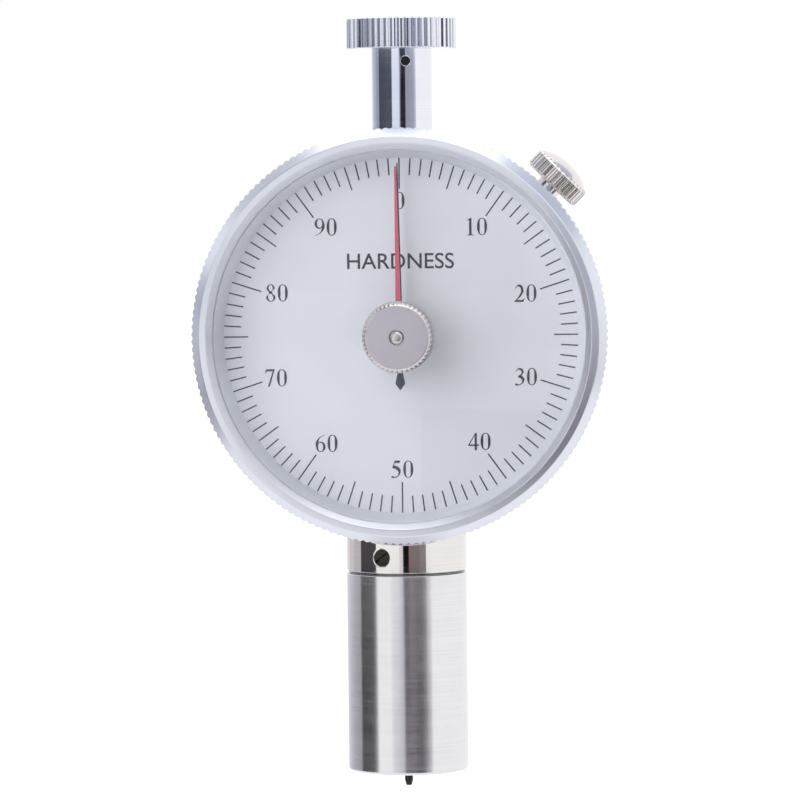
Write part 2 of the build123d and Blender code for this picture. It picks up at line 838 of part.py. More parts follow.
def make_rear_plate():
    back = rear_plate_front + rear_plate_thickness
    body = disc(rear_plate_radius, rear_plate_front, back)
    bush = pivot_bush_diameter / 2 + fitting_clearance
    for place in (rack_arbor_place, takeup_arbor_place):
        body -= disc(bush, rear_plate_front - overcut, back + overcut, place)
    hole = small_screw_diameter / 2 + fitting_clearance
    for place in movement_screw_places():
        body -= disc(hole, rear_plate_front - overcut, back + overcut, place)
    pin_radius = guide_pin_diameter / 2 + guide_slot_clearance
    slot_bottom = guide_pin_height - pin_radius
    slot_top = guide_pin_height + spindle_travel + pin_radius + end_clearance
    slot_length = slot_top - slot_bottom
    slot = Rot(0, 0, 90) * SlotOverall(slot_length, 2 * pin_radius)
    middle = (0, (slot_top + slot_bottom) / 2)
    body -= plate(slot, rear_plate_front - overcut, back + overcut, middle)
    stem_notch = stem_root_diameter / 2 + notch_clearance
    sleeve_notch = max(collar_sleeve_diameter, collar_bush_flange) / 2 + notch_clearance
    body -= rod(stem_notch, stem_root - stem_bush_flange_thickness - notch_clearance, stem_base)
    body -= rod(sleeve_notch, collar_top, collar_bush_top + notch_clearance)
    return body


def make_centre_bridge():
    length = 2 * bridge_half_length + bridge_width
    body = plate(Rot(0, 0, bridge_angle) * SlotOverall(length, bridge_width), bridge_front, bridge_back)
    bush = pivot_bush_diameter / 2 + fitting_clearance
    return body - disc(bush, bridge_front - overcut, bridge_back + overcut)


def make_plate_pillars():
    radius = pillar_diameter / 2
    screw = plate_screw_diameter / 2 + fitting_clearance
    depth = rear_plate_front - front_plate_back
    pillars = []
    for place in pillar_places():
        pillar = disc(radius, front_plate_back, rear_plate_front, place)
        pillars.append(pillar - disc(screw, front_plate_back, front_plate_back + depth / 3, place))
    return Compound(children=pillars)


def make_bridge_pillars():
    radius = pillar_diameter / 2
    screw = plate_screw_diameter / 2 + fitting_clearance
    pillars = []
    for place in bridge_pillar_places():
        pillar = disc(radius, front_plate_back, bridge_front, place)
        pillars.append(pillar - disc(screw, front_plate_back, bridge_front - end_clearance, place))
    return Compound(children=pillars)


def make_plate_screws():
    length = front_plate_thickness + (bridge_front - front_plate_back) * thread_fill
    screw = slotted_screw(plate_screw_diameter, length, plate_screw_head,
                          plate_screw_head_height - fitting_clearance)
    places = pillar_places() + bridge_pillar_places()
    screws = [screw_at(screw, (x, front_plate_front, z), (0, -1, 0), slot_turn=40 * n)
              for n, (x, z) in enumerate(places)]
    return Compound(children=screws)


def make_movement_screws():
    head_height = small_screw_diameter / 2
    length = head_height + rear_plate_thickness + lug_depth * thread_fill
    screw = slotted_screw(small_screw_diameter, length, small_screw_head, head_height)
    screws = [screw_at(screw, (x, rear_plate_front - head_height, z), (0, -1, 0), slot_turn=30 * n)
              for n, (x, z) in enumerate(movement_screw_places())]
    return Compound(children=screws)


def make_arbor_bushes():
    outer = pivot_bush_diameter / 2
    inner = pivot_diameter / 2 + running_clearance
    rear_back = rear_plate_front + rear_plate_thickness
    bushes = [ring(outer, inner, front_plate_front, front_plate_back, place)
              for place in (rack_arbor_place, centre_place, takeup_arbor_place)]
    bushes += [ring(outer, inner, rear_plate_front, rear_back, place)
               for place in (rack_arbor_place, takeup_arbor_place)]
    bushes.append(ring(outer, inner, bridge_front, bridge_back))
    return Compound(children=bushes)


# ---------------------------------------------------------------- gear train

def long_arbor(place):
    """An arbor that turns between the two plates, with a pivot at each end."""
    rear_back = rear_plate_front + rear_plate_thickness
    body_front = front_plate_back + end_clearance
    body_back = rear_plate_front - end_clearance
    pivot = pivot_diameter / 2
    body = arbor_diameter / 2
    return turned_y([
        (0, front_plate_front + end_clearance), (pivot, front_plate_front + end_clearance),
        (pivot, body_front), (body, body_front), (body, body_back), (pivot, body_back),
        (pivot, rear_back - end_clearance), (0, rear_back - end_clearance),
    ], place)


def make_rack_pinion():
    outline = gear_outline(rack_pinion_teeth, rack_module, pinion_addendum, pinion_dedendum, 0)
    half = rack_pinion_width / 2
    return long_arbor(rack_arbor_place) + plate(outline, -half, half, rack_arbor_place)


def gear_wheel(place, first_angle):
    outline = gear_outline(wheel_teeth, wheel_module, wheel_addendum, wheel_dedendum, first_angle)
    for number in range(wheel_window_count):
        angle = first_angle + 45 + 360 / wheel_window_count * number
        window = polar(wheel_window_place, angle)
        outline -= Pos(window[0], window[1]) * Circle(wheel_window_radius)
    outline -= Circle(arbor_diameter / 2 + fitting_clearance)
    return plate(outline, wheel_front, wheel_back, place)


def make_rack_wheel():
    return gear_wheel(rack_arbor_place, mesh_angle)


def make_takeup_wheel():
    return gear_wheel(takeup_arbor_place, mesh_angle + 180)


def make_takeup_arbor():
    return long_arbor(takeup_arbor_place)


def make_centre_pinion():
    half_tooth = 180 / centre_pinion_teeth
    outline = gear_outline(centre_pinion_teeth, wheel_module, pinion_addendum, pinion_dedendum,
                           mesh_angle + half_tooth)
    pivot = pivot_diameter / 2
    body = centre_arbor_diameter / 2
    body_front = front_plate_back + end_clearance
    body_back = bridge_front - end_clearance
    hub_front = pointer_plane - pointer_thickness / 2
    arbor = turned_y([
        (0, hub_front), (pivot, hub_front), (pivot, body_front), (body, body_front), (body, body_back),
        (pivot, body_back), (pivot, bridge_back - end_clearance), (0, bridge_back - end_clearance),
    ])
    return arbor + plate(outline, wheel_front - centre_pinion_overhang, wheel_back + centre_pinion_overhang)


def make_hairspring_collet():
    outer = collet_diameter / 2
    inner = arbor_diameter / 2 + fitting_clearance
    back = hairspring_front + hairspring_width
    return ring(outer, inner, hairspring_front, back, takeup_arbor_place)


def hairspring_half_turns():
    """Centre, middle radius and start angle of each half turn, from the collet outwards."""
    half_pitch = hairspring_pitch / 2
    first = collet_diameter / 2 + fitting_clearance + hairspring_strip / 2
    return [((half_pitch * (n % 2), 0), first + n * half_pitch, 180 * (n % 2))
            for n in range(2 * hairspring_turns)]


def make_hairspring():
    half_strip = hairspring_strip / 2
    edges = []
    for centre, radius, start in hairspring_half_turns():
        edges.append(CenterArc(centre, radius + half_strip, start, 180))
        edges.append(CenterArc(centre, radius - half_strip, start, 180))
    first = hairspring_half_turns()[0]
    inner_end = first[0][0] + first[1]
    edges.append(Line((inner_end - half_strip, 0), (inner_end + half_strip, 0)))
    last = hairspring_half_turns()[-1]
    outer_end = last[0][0] + last[1]
    edges.append(Line((outer_end - half_strip, 0), (outer_end + half_strip, 0)))
    back = hairspring_front + hairspring_width
    return plate(make_face(edges), hairspring_front, back, takeup_arbor_place)


def make_hairspring_stud():
    last = hairspring_half_turns()[-1]
    outer_end = last[0][0] + last[1] + hairspring_strip / 2
    offset = outer_end + stud_diameter / 2 + 2 * fitting_clearance
    place = (takeup_arbor_place[0] + offset, takeup_arbor_place[1])
    return disc(stud_diameter / 2, hairspring_front, rear_plate_front, place)


# ---------------------------------------------------------------- bezel group

def make_bezel_ring():
    land_outer = bezel_radius - bezel_chamfer_radial
    land_inner = land_outer - bezel_land_radial
    land_front = bezel_front + bezel_land_axial
    aperture = bezel_aperture_radius
    aperture_front = bezel_front + bezel_bevel_axial
    groove_front = drum_front - snap_groove_offset - snap_groove_width - fitting_clearance
    groove_back = groove_front + snap_groove_width + 2 * fitting_clearance
    groove_radius = skirt_bore_radius + snap_groove_depth
    blank = turned_y([
        (land_inner, bezel_front), (land_outer, land_front), (bezel_radius, bezel_knurl_front),
        (bezel_radius, bezel_knurl_rear), (skirt_radius, bezel_knurl_rear), (skirt_radius, skirt_rear),
        (skirt_bore_radius, skirt_rear), (skirt_bore_radius, groove_back), (groove_radius, groove_back),
        (groove_radius, groove_front), (skirt_bore_radius, groove_front),
        (skirt_bore_radius, crystal_front), (aperture, crystal_front), (aperture, aperture_front),
    ])
    knurl = plate(toothed_disc(bezel_radius, bezel_knurl_depth, bezel_knurl_count),
                  bezel_front - overcut, skirt_rear + overcut)
    return blank & knurl


def make_crystal():
    outer = skirt_bore_radius - fitting_clearance
    hole = crystal_bush_diameter / 2 + fitting_clearance
    return ring(outer, hole, crystal_front, crystal_back)


def make_crystal_gasket():
    outer = skirt_bore_radius - fitting_clearance
    return ring(outer, dial_ring_lip_radius, crystal_back, gasket_back)


def make_dial_ring():
    outer = skirt_bore_radius - fitting_clearance
    return turned_y([
        (dial_ring_lip_radius, gasket_back), (outer, gasket_back), (outer, dial_front),
        (dial_ring_foot_radius, dial_front),
    ])


def make_dial_plate():
    return ring(skirt_bore_radius - fitting_clearance, dial_hole_radius, dial_front, dial_back)


def make_crystal_bush():
    bore = drag_shaft_diameter / 2 + running_clearance
    tube_radius = crystal_bush_diameter / 2
    flange = crystal_bush_flange_diameter / 2
    front = crystal_front - crystal_bush_flange_thickness
    back = crystal_back + end_clearance
    return turned_y([
        (bore, front), (flange, front), (flange, crystal_front), (tube_radius, crystal_front),
        (tube_radius, back), (bore, back),
    ])


# ---------------------------------------------------------------- pointer and drag hand

def make_pointer():
    half_root = pointer_root_width / 2
    half_tip = pointer_tip_width / 2
    half_neck = tail_neck_width / 2
    half_tail = tail_width / 2
    blade = make_face(Polyline(
        (-half_tip, pointer_length), (half_tip, pointer_length), (half_root, 0), (half_neck, -tail_neck_end),
        (half_tail, -tail_wide_place), (0, -tail_length), (-half_tail, -tail_wide_place),
        (-half_neck, -tail_neck_end), (-half_root, 0), close=True,
    ))
    outline = blade + Circle(pointer_hub_diameter / 2) - Circle(pivot_diameter / 2 + fitting_clearance)
    half = pointer_thickness / 2
    return plate(Rot(0, 0, pointer_rest_angle) * outline, pointer_plane - half, pointer_plane + half)


def make_pointer_hub():
    front = pointer_plane + pointer_thickness / 2
    bore = pivot_diameter / 2 + fitting_clearance
    return ring(pointer_boss_diameter / 2, bore, front, front + pointer_hub_depth)


def make_drag_hand():
    half_root = drag_hand_root_width / 2
    half_tip = drag_hand_tip_width / 2
    blade = make_face(Polyline(
        (-half_root, 0), (half_root, 0),
        (half_tip, drag_hand_length), (-half_tip, drag_hand_length), close=True,
    ))
    bore = Circle(drag_shaft_diameter / 2 + fitting_clearance)
    half = drag_hand_thickness / 2
    back = drag_hand_plane + half
    outline = Rot(0, 0, drag_hand_rest_angle) * (blade + Circle(drag_hand_hub_diameter / 2) - bore)
    body = plate(outline, drag_hand_plane - half, back)
    lug_place = on_dial(drag_hand_lug_place, 90 + drag_hand_rest_angle)
    return body + disc(drag_hand_root_width / 4, back - half, back + drag_hand_lug_depth, lug_place)


def make_drag_shaft():
    back = drag_hand_plane + drag_hand_thickness
    return disc(drag_shaft_diameter / 2, drag_shaft_front, back)


def make_drag_knob():
    flange = drag_knob_flange_diameter / 2
    body = drag_knob_diameter / 2
    face = drag_knob_face_diameter / 2
    bore = drag_shaft_diameter / 2 + fitting_clearance
    recess = drag_knob_pin_recess_diameter / 2
    recess_back = drag_knob_front + drag_knob_pin_recess_depth
    flange_back = drag_knob_flange_front + drag_knob_flange_thickness
    underside = drag_knob_underside_diameter / 2
    underside_front = flange_back - drag_knob_underside_depth
    blank = turned_y([
        (recess, drag_knob_front), (face, drag_knob_front), (body, drag_knob_front + drag_knob_bevel),
        (body, drag_knob_flange_front), (underside, drag_knob_flange_front), (underside, underside_front),
        (bore, underside_front), (bore, recess_back), (recess, recess_back),
    ])
    knurl = plate(toothed_disc(body, drag_knob_tooth_depth, drag_knob_teeth),
                  drag_knob_front - overcut, drag_knob_flange_front + overcut)
    return (blank & knurl) + ring(flange, underside, drag_knob_flange_front, flange_back)


def make_friction_washer():
    back = crystal_front - crystal_bush_flange_thickness - end_clearance / 2
    bore = drag_shaft_diameter / 2 + rotor_clearance
    return ring(friction_washer_diameter / 2, bore, back - friction_washer_thickness, back)


# ---------------------------------------------------------------- bezel clamp

def clamp_plate_bottom():
    return clamp_boss_radius + clamp_plate_gap


def clamp_plate_top():
    return clamp_plate_bottom() + clamp_plate_thickness


def make_clamp_plate():
    front = clamp_axis_y - clamp_lip_front
    rear = clamp_plate_rear - clamp_axis_y
    length = front + rear
    slab = Pos((front - rear) / 2, 0, clamp_plate_thickness / 2) * Box(
        length, clamp_plate_width, clamp_plate_thickness)
    body = clamp_plane(clamp_plate_bottom()).location * slab

    skirt_seat = skirt_radius + clamp_lip_clearance
    lip_rear = skirt_rear - clamp_plate_gap
    lip_length = lip_rear - clamp_lip_front
    lip_height = clamp_plate_top() - skirt_bore_radius
    lip = Pos(clamp_axis_y - (lip_rear + clamp_lip_front) / 2, 0, -lip_height / 2) * Box(
        lip_length, clamp_plate_width, lip_height)
    body += clamp_plane(clamp_plate_top()).location * lip
    body -= disc(skirt_seat, clamp_lip_front - overcut, lip_rear + clamp_plate_gap)
    hole = clamp_screw_diameter + 2 * clamp_screw_clearance
    return body - clamp_bar(hole, clamp_plate_bottom() - overcut, clamp_plate_top() + overcut)


def clamp_knob_base():
    return clamp_plate_top() + clamp_hub_height


def make_clamp_knob():
    outer = clamp_knob_diameter / 2
    height = clamp_knob_height
    top = height + clamp_knob_dome
    blank = extrude(toothed_disc(outer, clamp_knob_tooth_depth, clamp_knob_teeth), amount=height)
    crown_radius = outer - clamp_knob_tooth_depth
    middle = (crown_radius * clamp_dome_middle_place, height + clamp_knob_dome * clamp_dome_middle_rise)
    crown = make_face(
        ThreePointArc((0, top), middle, (crown_radius, height)).edges()
        + Polyline((crown_radius, height), (0, height), (0, top)).edges()
    )
    dome = revolve(Plane.XZ * crown, Axis.Z)
    hub = Pos(0, 0, -clamp_hub_height / 2) * Cylinder(clamp_hub_diameter / 2, clamp_hub_height)
    bore_radius = clamp_screw_diameter / 2 + fitting_clearance
    bore_top = height * clamp_knob_bore_share
    bore = Pos(0, 0, (bore_top - clamp_hub_height) / 2) * Cylinder(bore_radius, bore_top + clamp_hub_height)
    return clamp_plane(clamp_knob_base()).location * (blank + dome + hub - bore)


def make_clamp_screw():
    inner = clamp_boss_radius - clamp_screw_depth
    outer = clamp_knob_base() + clamp_knob_height * clamp_knob_bore_share - end_clearance
    return clamp_bar(clamp_screw_diameter, inner, outer)


# ---------------------------------------------------------------- write one file per piece

pieces = {
    "presser_foot": make_presser_foot,
    "foot_guide_bush": make_foot_guide_bush,
    "collar": make_collar,
    "collar_set_screws": make_collar_set_screws,
    "collar_guide_bush": make_collar_guide_bush,
    "case_body": make_case_body,
    "bezel_snap_ring": make_bezel_snap_ring,
    "back_cover": make_back_cover,
    "back_cover_screws": make_back_cover_screws,
    "stem": make_stem,
    "stem_guide_bush": make_stem_guide_bush,
    "spring_adjuster": make_spring_adjuster,
    "adjuster_lock_screw": make_adjuster_lock_screw,
    "main_spring": make_main_spring,
    "top_cap": make_top_cap,
    "front_plate": make_front_plate,
    "rear_plate": make_rear_plate,
    "centre_bridge": make_centre_bridge,
    "plate_pillars": make_plate_pillars,
    "bridge_pillars": make_bridge_pillars,
    "plate_screws": make_plate_screws,
    "movement_screws": make_movement_screws,
    "arbor_bushes": make_arbor_bushes,
    "spindle": make_spindle,
    "indenter": make_indenter,
    "indenter_grub_screw": make_indenter_grub_screw,
    "spring_seat": make_spring_seat,
    "guide_pin": make_guide_pin,
    "rack_pinion": make_rack_pinion,
    "rack_wheel": make_rack_wheel,
    "centre_pinion": make_centre_pinion,
    "takeup_arbor": make_takeup_arbor,
    "takeup_wheel": make_takeup_wheel,
    "hairspring_collet": make_hairspring_collet,
    "hairspring": make_hairspring,
    "hairspring_stud": make_hairspring_stud,
    "pointer": make_pointer,
    "pointer_hub": make_pointer_hub,
    "bezel_ring": make_bezel_ring,
    "crystal": make_crystal,
    "crystal_gasket": make_crystal_gasket,
    "crystal_bush": make_crystal_bush,
    "dial_ring": make_dial_ring,
    "dial_plate": make_dial_plate,
    "drag_hand": make_drag_hand,
    "drag_shaft": make_drag_shaft,
    "drag_knob": make_drag_knob,
    "friction_washer": make_friction_washer,
    "clamp_plate": make_clamp_plate,
    "clamp_knob": make_clamp_knob,
    "clamp_screw": make_clamp_screw,
}

os.makedirs("parts", exist_ok=True)
for name, make in pieces.items():
    export_step(make(), f"parts/{name}.step")
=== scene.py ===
import json
from math import atan2, cos, hypot, pi, radians, sin, sqrt

import bpy
from mathutils import Matrix, Vector

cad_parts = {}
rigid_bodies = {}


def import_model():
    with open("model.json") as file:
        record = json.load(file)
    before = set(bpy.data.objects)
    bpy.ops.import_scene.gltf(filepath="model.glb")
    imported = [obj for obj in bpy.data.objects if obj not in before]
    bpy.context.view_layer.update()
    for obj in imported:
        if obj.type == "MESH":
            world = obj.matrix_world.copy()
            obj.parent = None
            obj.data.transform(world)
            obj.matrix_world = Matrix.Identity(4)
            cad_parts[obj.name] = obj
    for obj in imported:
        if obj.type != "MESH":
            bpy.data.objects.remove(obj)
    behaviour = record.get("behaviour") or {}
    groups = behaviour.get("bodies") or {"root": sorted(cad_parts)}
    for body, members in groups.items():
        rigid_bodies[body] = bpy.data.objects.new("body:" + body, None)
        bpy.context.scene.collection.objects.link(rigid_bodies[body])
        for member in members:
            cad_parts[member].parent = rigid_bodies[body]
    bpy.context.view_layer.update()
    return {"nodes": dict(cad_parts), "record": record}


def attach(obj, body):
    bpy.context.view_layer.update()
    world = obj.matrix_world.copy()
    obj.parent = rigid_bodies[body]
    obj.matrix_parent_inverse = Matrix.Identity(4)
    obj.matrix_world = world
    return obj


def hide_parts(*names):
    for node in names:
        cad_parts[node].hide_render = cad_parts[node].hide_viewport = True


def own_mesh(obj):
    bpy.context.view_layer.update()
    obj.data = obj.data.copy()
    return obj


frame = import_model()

nodes = frame["nodes"]
scene = bpy.context.scene
MM = 0.001

# Places and sizes on the instrument
DIAL_HEIGHT = 65.2
DIAL_FRONT = -7.3
DIAL_CENTRE = (0.0, 0.0, DIAL_HEIGHT)
SCALE_RADIUS = 26.22
BEZEL_RADIUS = 30.7
FLOOR_HEIGHT = -2.5
MERGE_GAP = 0.0005      # vertices closer than this are one
SAME_PLACE = 0.002      # and one this near to a place stands on it


# ---------------------------------------------------------------- camera

CAMERA_AZIMUTH = 4.016        # degrees, from the dial's front towards the clamp knob
CAMERA_ELEVATION = 2.771
CAMERA_ROLL = -0.6145
CAMERA_DISTANCE = 692.3
CAMERA_TARGET = (-0.751, 0.0, 55.314)
FOCAL_PIXELS = 4630.8         # for an image 800 wide
IMAGE_WIDTH = 800
SENSOR_WIDTH = 36.0
CLIP_NEAR = 0.05              # metres
CLIP_FAR = 50.0


def direction(azimuth, elevation):
    """From the object towards an azimuth (0 is the front, + is the clamp knob's side) and an elevation."""
    a, e = radians(azimuth), radians(elevation)
    return Vector((sin(a) * cos(e), -cos(a) * cos(e), sin(e)))


def place_camera():
    """The camera, CAMERA_DISTANCE from its target and turned by CAMERA_ROLL about its own line of sight."""
    lens = bpy.data.cameras.new("camera")
    lens.sensor_width = SENSOR_WIDTH
    lens.lens = FOCAL_PIXELS / IMAGE_WIDTH * SENSOR_WIDTH
    lens.clip_start = CLIP_NEAR
    lens.clip_end = CLIP_FAR
    camera = bpy.data.objects.new("camera", lens)
    scene.collection.objects.link(camera)
    back = direction(CAMERA_AZIMUTH, CAMERA_ELEVATION)
    level_right = back.cross(Vector((0, 0, 1))).normalized() * -1
    level_up = back.cross(level_right)
    roll = radians(CAMERA_ROLL)
    right = cos(roll) * level_right + sin(roll) * level_up
    up = cos(roll) * level_up - sin(roll) * level_right
    turn = Matrix((right, up, back)).transposed()
    place = (Vector(CAMERA_TARGET) + back * CAMERA_DISTANCE) * MM
    camera.matrix_world = Matrix.Translation(place) @ turn.to_4x4()
    scene.camera = camera


place_camera()


# ---------------------------------------------------------------- node helpers

def colour(code):
    """An sRGB hex code as linear RGBA."""
    parts = [int(code[i:i + 2], 16) / 255 for i in (1, 3, 5)]
    linear = [c / 12.92 if c <= 0.04045 else ((c + 0.055) / 1.055) ** 2.4 for c in parts]
    return (*linear, 1.0)


def add(tree, kind, settings=None, links=None):
    """Add a node. A setting is one of the node's own options or one of its sockets' values."""
    node = tree.nodes.new(kind)
    for key, value in (settings or {}).items():
        if isinstance(key, str) and hasattr(node, key):
            setattr(node, key, value)
        else:
            node.inputs[key].default_value = value
    for key, socket in (links or {}).items():
        tree.links.new(socket, node.inputs[key])
    return node


def start_material(name):
    """An empty material: itself, its node tree and its output node."""
    material = bpy.data.materials.new(name)
    material.use_nodes = True
    tree = material.node_tree
    tree.nodes.clear()
    output = add(tree, "ShaderNodeOutputMaterial")
    return material, tree, output


def finish_with(tree, output, shader):
    """Let this shader be the material's surface."""
    tree.links.new(shader.outputs[0], output.inputs["Surface"])


# ---------------------------------------------------------------- finishes

# The Mapping turn that lays a pattern round the indenter's axis, the dial's axis or the clamp knob's axis
UP = (0.0, 0.0, 0.0)
FACING = (radians(90.0), 0.0, 0.0)
CLAMPED = (0.0, radians(-45.0), 0.0)

NOISE_SPAN = {"From Min": 0.3, "From Max": 0.7}     # where nearly all of a noise's values lie
JOINT_SHADE_SPAN = {"From Min": 0.25, "From Max": 0.75, "To Min": 0.12}     # how dark the painted shade in a joint grows
EDGE_SAMPLES = 6
JOINT_SAMPLES = 8
QUARTER_TURN = 0.25
DRIFT_LINES = 90        # the cuts change along and round the piece over this many of their widths
METAL_CLOUD = 3.0       # size of the slow cloud of tone on each kind of surface
PAINT_CLOUD = 9.0
BLAST_CLOUD = 5.0
PLASTIC_CLOUD = 6.0
METAL_CLOUD_SHARE = 0.35      # how much of the tone is the cloud's, and the rest is the fine pattern's
PAINT_CLOUD_SHARE = 0.6
METAL_SWING = 0.03      # how far the roughness swings to each side
PAINT_SWING = 0.04
BLAST_SWING = 0.05
PAINT_EDGE = 0.05       # how wide the edges look eased
BLAST_EDGE = 0.2


def axis_coordinates(tree, centre, turn, line):
    """Object coordinates three ways, for a pattern round an axis.

    First (distance from the axis, place along it) counted in widths of a line, then centred and turned to
    the axis, then plain.
    """
    coordinates = add(tree, "ShaderNodeTexCoord")
    moved = add(tree, "ShaderNodeMapping", {"Location": [-c * MM for c in centre]},
                {"Vector": coordinates.outputs["Object"]})
    aimed = add(tree, "ShaderNodeMapping", {"Rotation": turn}, {"Vector": moved.outputs[0]})
    flat = add(tree, "ShaderNodeVectorMath", {"operation": "MULTIPLY", 1: (1.0, 1.0, 0.0)},
               {0: aimed.outputs[0]})
    radius = add(tree, "ShaderNodeVectorMath", {"operation": "LENGTH"}, {0: flat.outputs[0]})
    split = add(tree, "ShaderNodeSeparateXYZ", links={0: aimed.outputs[0]})
    rings = add(tree, "ShaderNodeCombineXYZ",
                links={"X": radius.outputs["Value"], "Y": split.outputs["Z"]})
    scaled = add(tree, "ShaderNodeVectorMath", {"operation": "SCALE", "Scale": 1 / (line * MM)},
                 {0: rings.outputs[0]})
    return scaled.outputs[0], aimed.outputs[0], coordinates.outputs["Object"]


def machined_metal(name, light, dark, roughness, centre=(0, 0, 0), turn=UP, line=0.18, depth=0.004,
                   anisotropy=0.0, edge=0.08, joint_shade_reach=0.0):
    """Metal cut on a lathe: fine rings round the axis, a slow cloud of tone, and eased edges.

    light and dark bound its tone, line is the width of one cut and depth its height. Real cuts are about
    0.05 to 0.1 mm wide, too fine to show here, so they are drawn two to five times as wide. Where another
    piece stands closer than the reach given for the joint, the metal is darkened with painted shade.
    """
    material, tree, output = start_material(name)
    rings, aimed, plain = axis_coordinates(tree, centre, turn, line)
    drift = add(tree, "ShaderNodeVectorMath",
                {"operation": "SCALE", "Scale": 1 / (DRIFT_LINES * line * MM)}, {0: aimed})
    course = add(tree, "ShaderNodeVectorMath", {"operation": "ADD"}, {0: rings, 1: drift.outputs[0]})
    cuts = add(tree, "ShaderNodeTexNoise", {"Scale": 1.0, "Detail": 2.0, "Roughness": 0.6},
               {"Vector": course.outputs[0]})
    cloud = add(tree, "ShaderNodeTexNoise", {"Scale": 1 / (METAL_CLOUD * MM), "Detail": 2.0},
                {"Vector": plain})
    both = add(tree, "ShaderNodeMix", {"data_type": "FLOAT", 0: METAL_CLOUD_SHARE},
               {2: cuts.outputs[0], 3: cloud.outputs[0]})
    even = add(tree, "ShaderNodeMapRange", NOISE_SPAN, {"Value": both.outputs[0]})
    tone = add(tree, "ShaderNodeMix", {"data_type": "RGBA", 6: colour(dark), 7: colour(light)},
               {0: even.outputs[0]})
    base = tone.outputs[2]
    # Painted shade: the metal is darkened where another piece stands close, as a joint is shaded
    if joint_shade_reach:
        joint_occlusion = add(tree, "ShaderNodeAmbientOcclusion", {"samples": JOINT_SAMPLES, "Distance": joint_shade_reach * MM})
        painted_joint_shade = add(tree, "ShaderNodeMapRange", JOINT_SHADE_SPAN, {"Value": joint_occlusion.outputs["AO"]})
        joint_shaded = add(tree, "ShaderNodeMix", {"data_type": "RGBA", "blend_type": "MULTIPLY", 0: 1.0},
                     {6: base, 7: painted_joint_shade.outputs[0]})
        base = joint_shaded.outputs[2]
    shine = add(tree, "ShaderNodeMapRange",
                {"To Min": roughness - METAL_SWING, "To Max": roughness + METAL_SWING},
                {"Value": even.outputs[0]})
    eased_edge = add(tree, "ShaderNodeBevel", {"samples": EDGE_SAMPLES, "Radius": edge * MM})
    relief = add(tree, "ShaderNodeBump", {"Strength": 1.0, "Distance": depth * MM},
                 {"Height": cuts.outputs[0], "Normal": eased_edge.outputs[0]})
    shader = add(tree, "ShaderNodeBsdfPrincipled", {"Metallic": 1.0, "Anisotropic": anisotropy},
                 {"Base Color": base, "Roughness": shine.outputs[0], "Normal": relief.outputs[0]})
    if anisotropy:
        along = add(tree, "ShaderNodeTangent", {"direction_type": "RADIAL", "axis": "Z"})
        tree.links.new(along.outputs[0], shader.inputs["Tangent"])
        shader.inputs["Anisotropic Rotation"].default_value = QUARTER_TURN
    finish_with(tree, output, shader)
    return material


def painted(name, light, dark, roughness, grain, depth, shine_level=0.5):
    """Enamel or lacquer on metal: an even colour with a slow drift of tone and a fine grain.

    The real grain is a few hundredths of a millimetre, too fine to show, so it is drawn coarser.
    """
    material, tree, output = start_material(name)
    coordinates = add(tree, "ShaderNodeTexCoord").outputs["Object"]
    fine = add(tree, "ShaderNodeTexNoise", {"Scale": 1 / (grain * MM), "Detail": 3.0},
               {"Vector": coordinates})
    slow = add(tree, "ShaderNodeTexNoise", {"Scale": 1 / (PAINT_CLOUD * MM), "Detail": 1.0},
               {"Vector": coordinates})
    both = add(tree, "ShaderNodeMix", {"data_type": "FLOAT", 0: PAINT_CLOUD_SHARE},
               {2: fine.outputs[0], 3: slow.outputs[0]})
    even = add(tree, "ShaderNodeMapRange", NOISE_SPAN, {"Value": both.outputs[0]})
    tone = add(tree, "ShaderNodeMix", {"data_type": "RGBA", 6: colour(dark), 7: colour(light)},
               {0: even.outputs[0]})
    shine = add(tree, "ShaderNodeMapRange",
                {"To Min": roughness - PAINT_SWING, "To Max": roughness + PAINT_SWING},
                {"Value": fine.outputs[0]})
    eased_edge = add(tree, "ShaderNodeBevel", {"samples": EDGE_SAMPLES, "Radius": PAINT_EDGE * MM})
    relief = add(tree, "ShaderNodeBump", {"Strength": 1.0, "Distance": depth * MM},
                 {"Height": fine.outputs[0], "Normal": eased_edge.outputs[0]})
    shader = add(tree, "ShaderNodeBsdfPrincipled",
                 {"Metallic": 0.0, "IOR": 1.5, "Specular IOR Level": shine_level},
                 {"Base Color": tone.outputs[2], "Roughness": shine.outputs[0],
                  "Normal": relief.outputs[0]})
    finish_with(tree, output, shader)
    return material


def blasted_metal(name, light, dark, roughness, grain, depth):
    """Metal blasted with beads: a fine even grain, the size of a bead, that scatters the light."""
    material, tree, output = start_material(name)
    coordinates = add(tree, "ShaderNodeTexCoord").outputs["Object"]
    beads = add(tree, "ShaderNodeTexVoronoi", {"Scale": 1 / (grain * MM)}, {"Vector": coordinates})
    cloud = add(tree, "ShaderNodeTexNoise", {"Scale": 1 / (BLAST_CLOUD * MM), "Detail": 3.0},
                {"Vector": coordinates})
    tone = add(tree, "ShaderNodeMix", {"data_type": "RGBA", 6: colour(dark), 7: colour(light)},
               {0: cloud.outputs[0]})
    shine = add(tree, "ShaderNodeMapRange",
                {"To Min": roughness - BLAST_SWING, "To Max": roughness + BLAST_SWING},
                {"Value": cloud.outputs[0]})
    eased_edge = add(tree, "ShaderNodeBevel", {"samples": EDGE_SAMPLES, "Radius": BLAST_EDGE * MM})
    relief = add(tree, "ShaderNodeBump", {"Strength": 1.0, "Distance": depth * MM},
                 {"Height": beads.outputs["Distance"], "Normal": eased_edge.outputs[0]})
    shader = add(tree, "ShaderNodeBsdfPrincipled", {"Metallic": 1.0},
                 {"Base Color": tone.outputs[2], "Roughness": shine.outputs[0],
                  "Normal": relief.outputs[0]})
    finish_with(tree, output, shader)
    return material


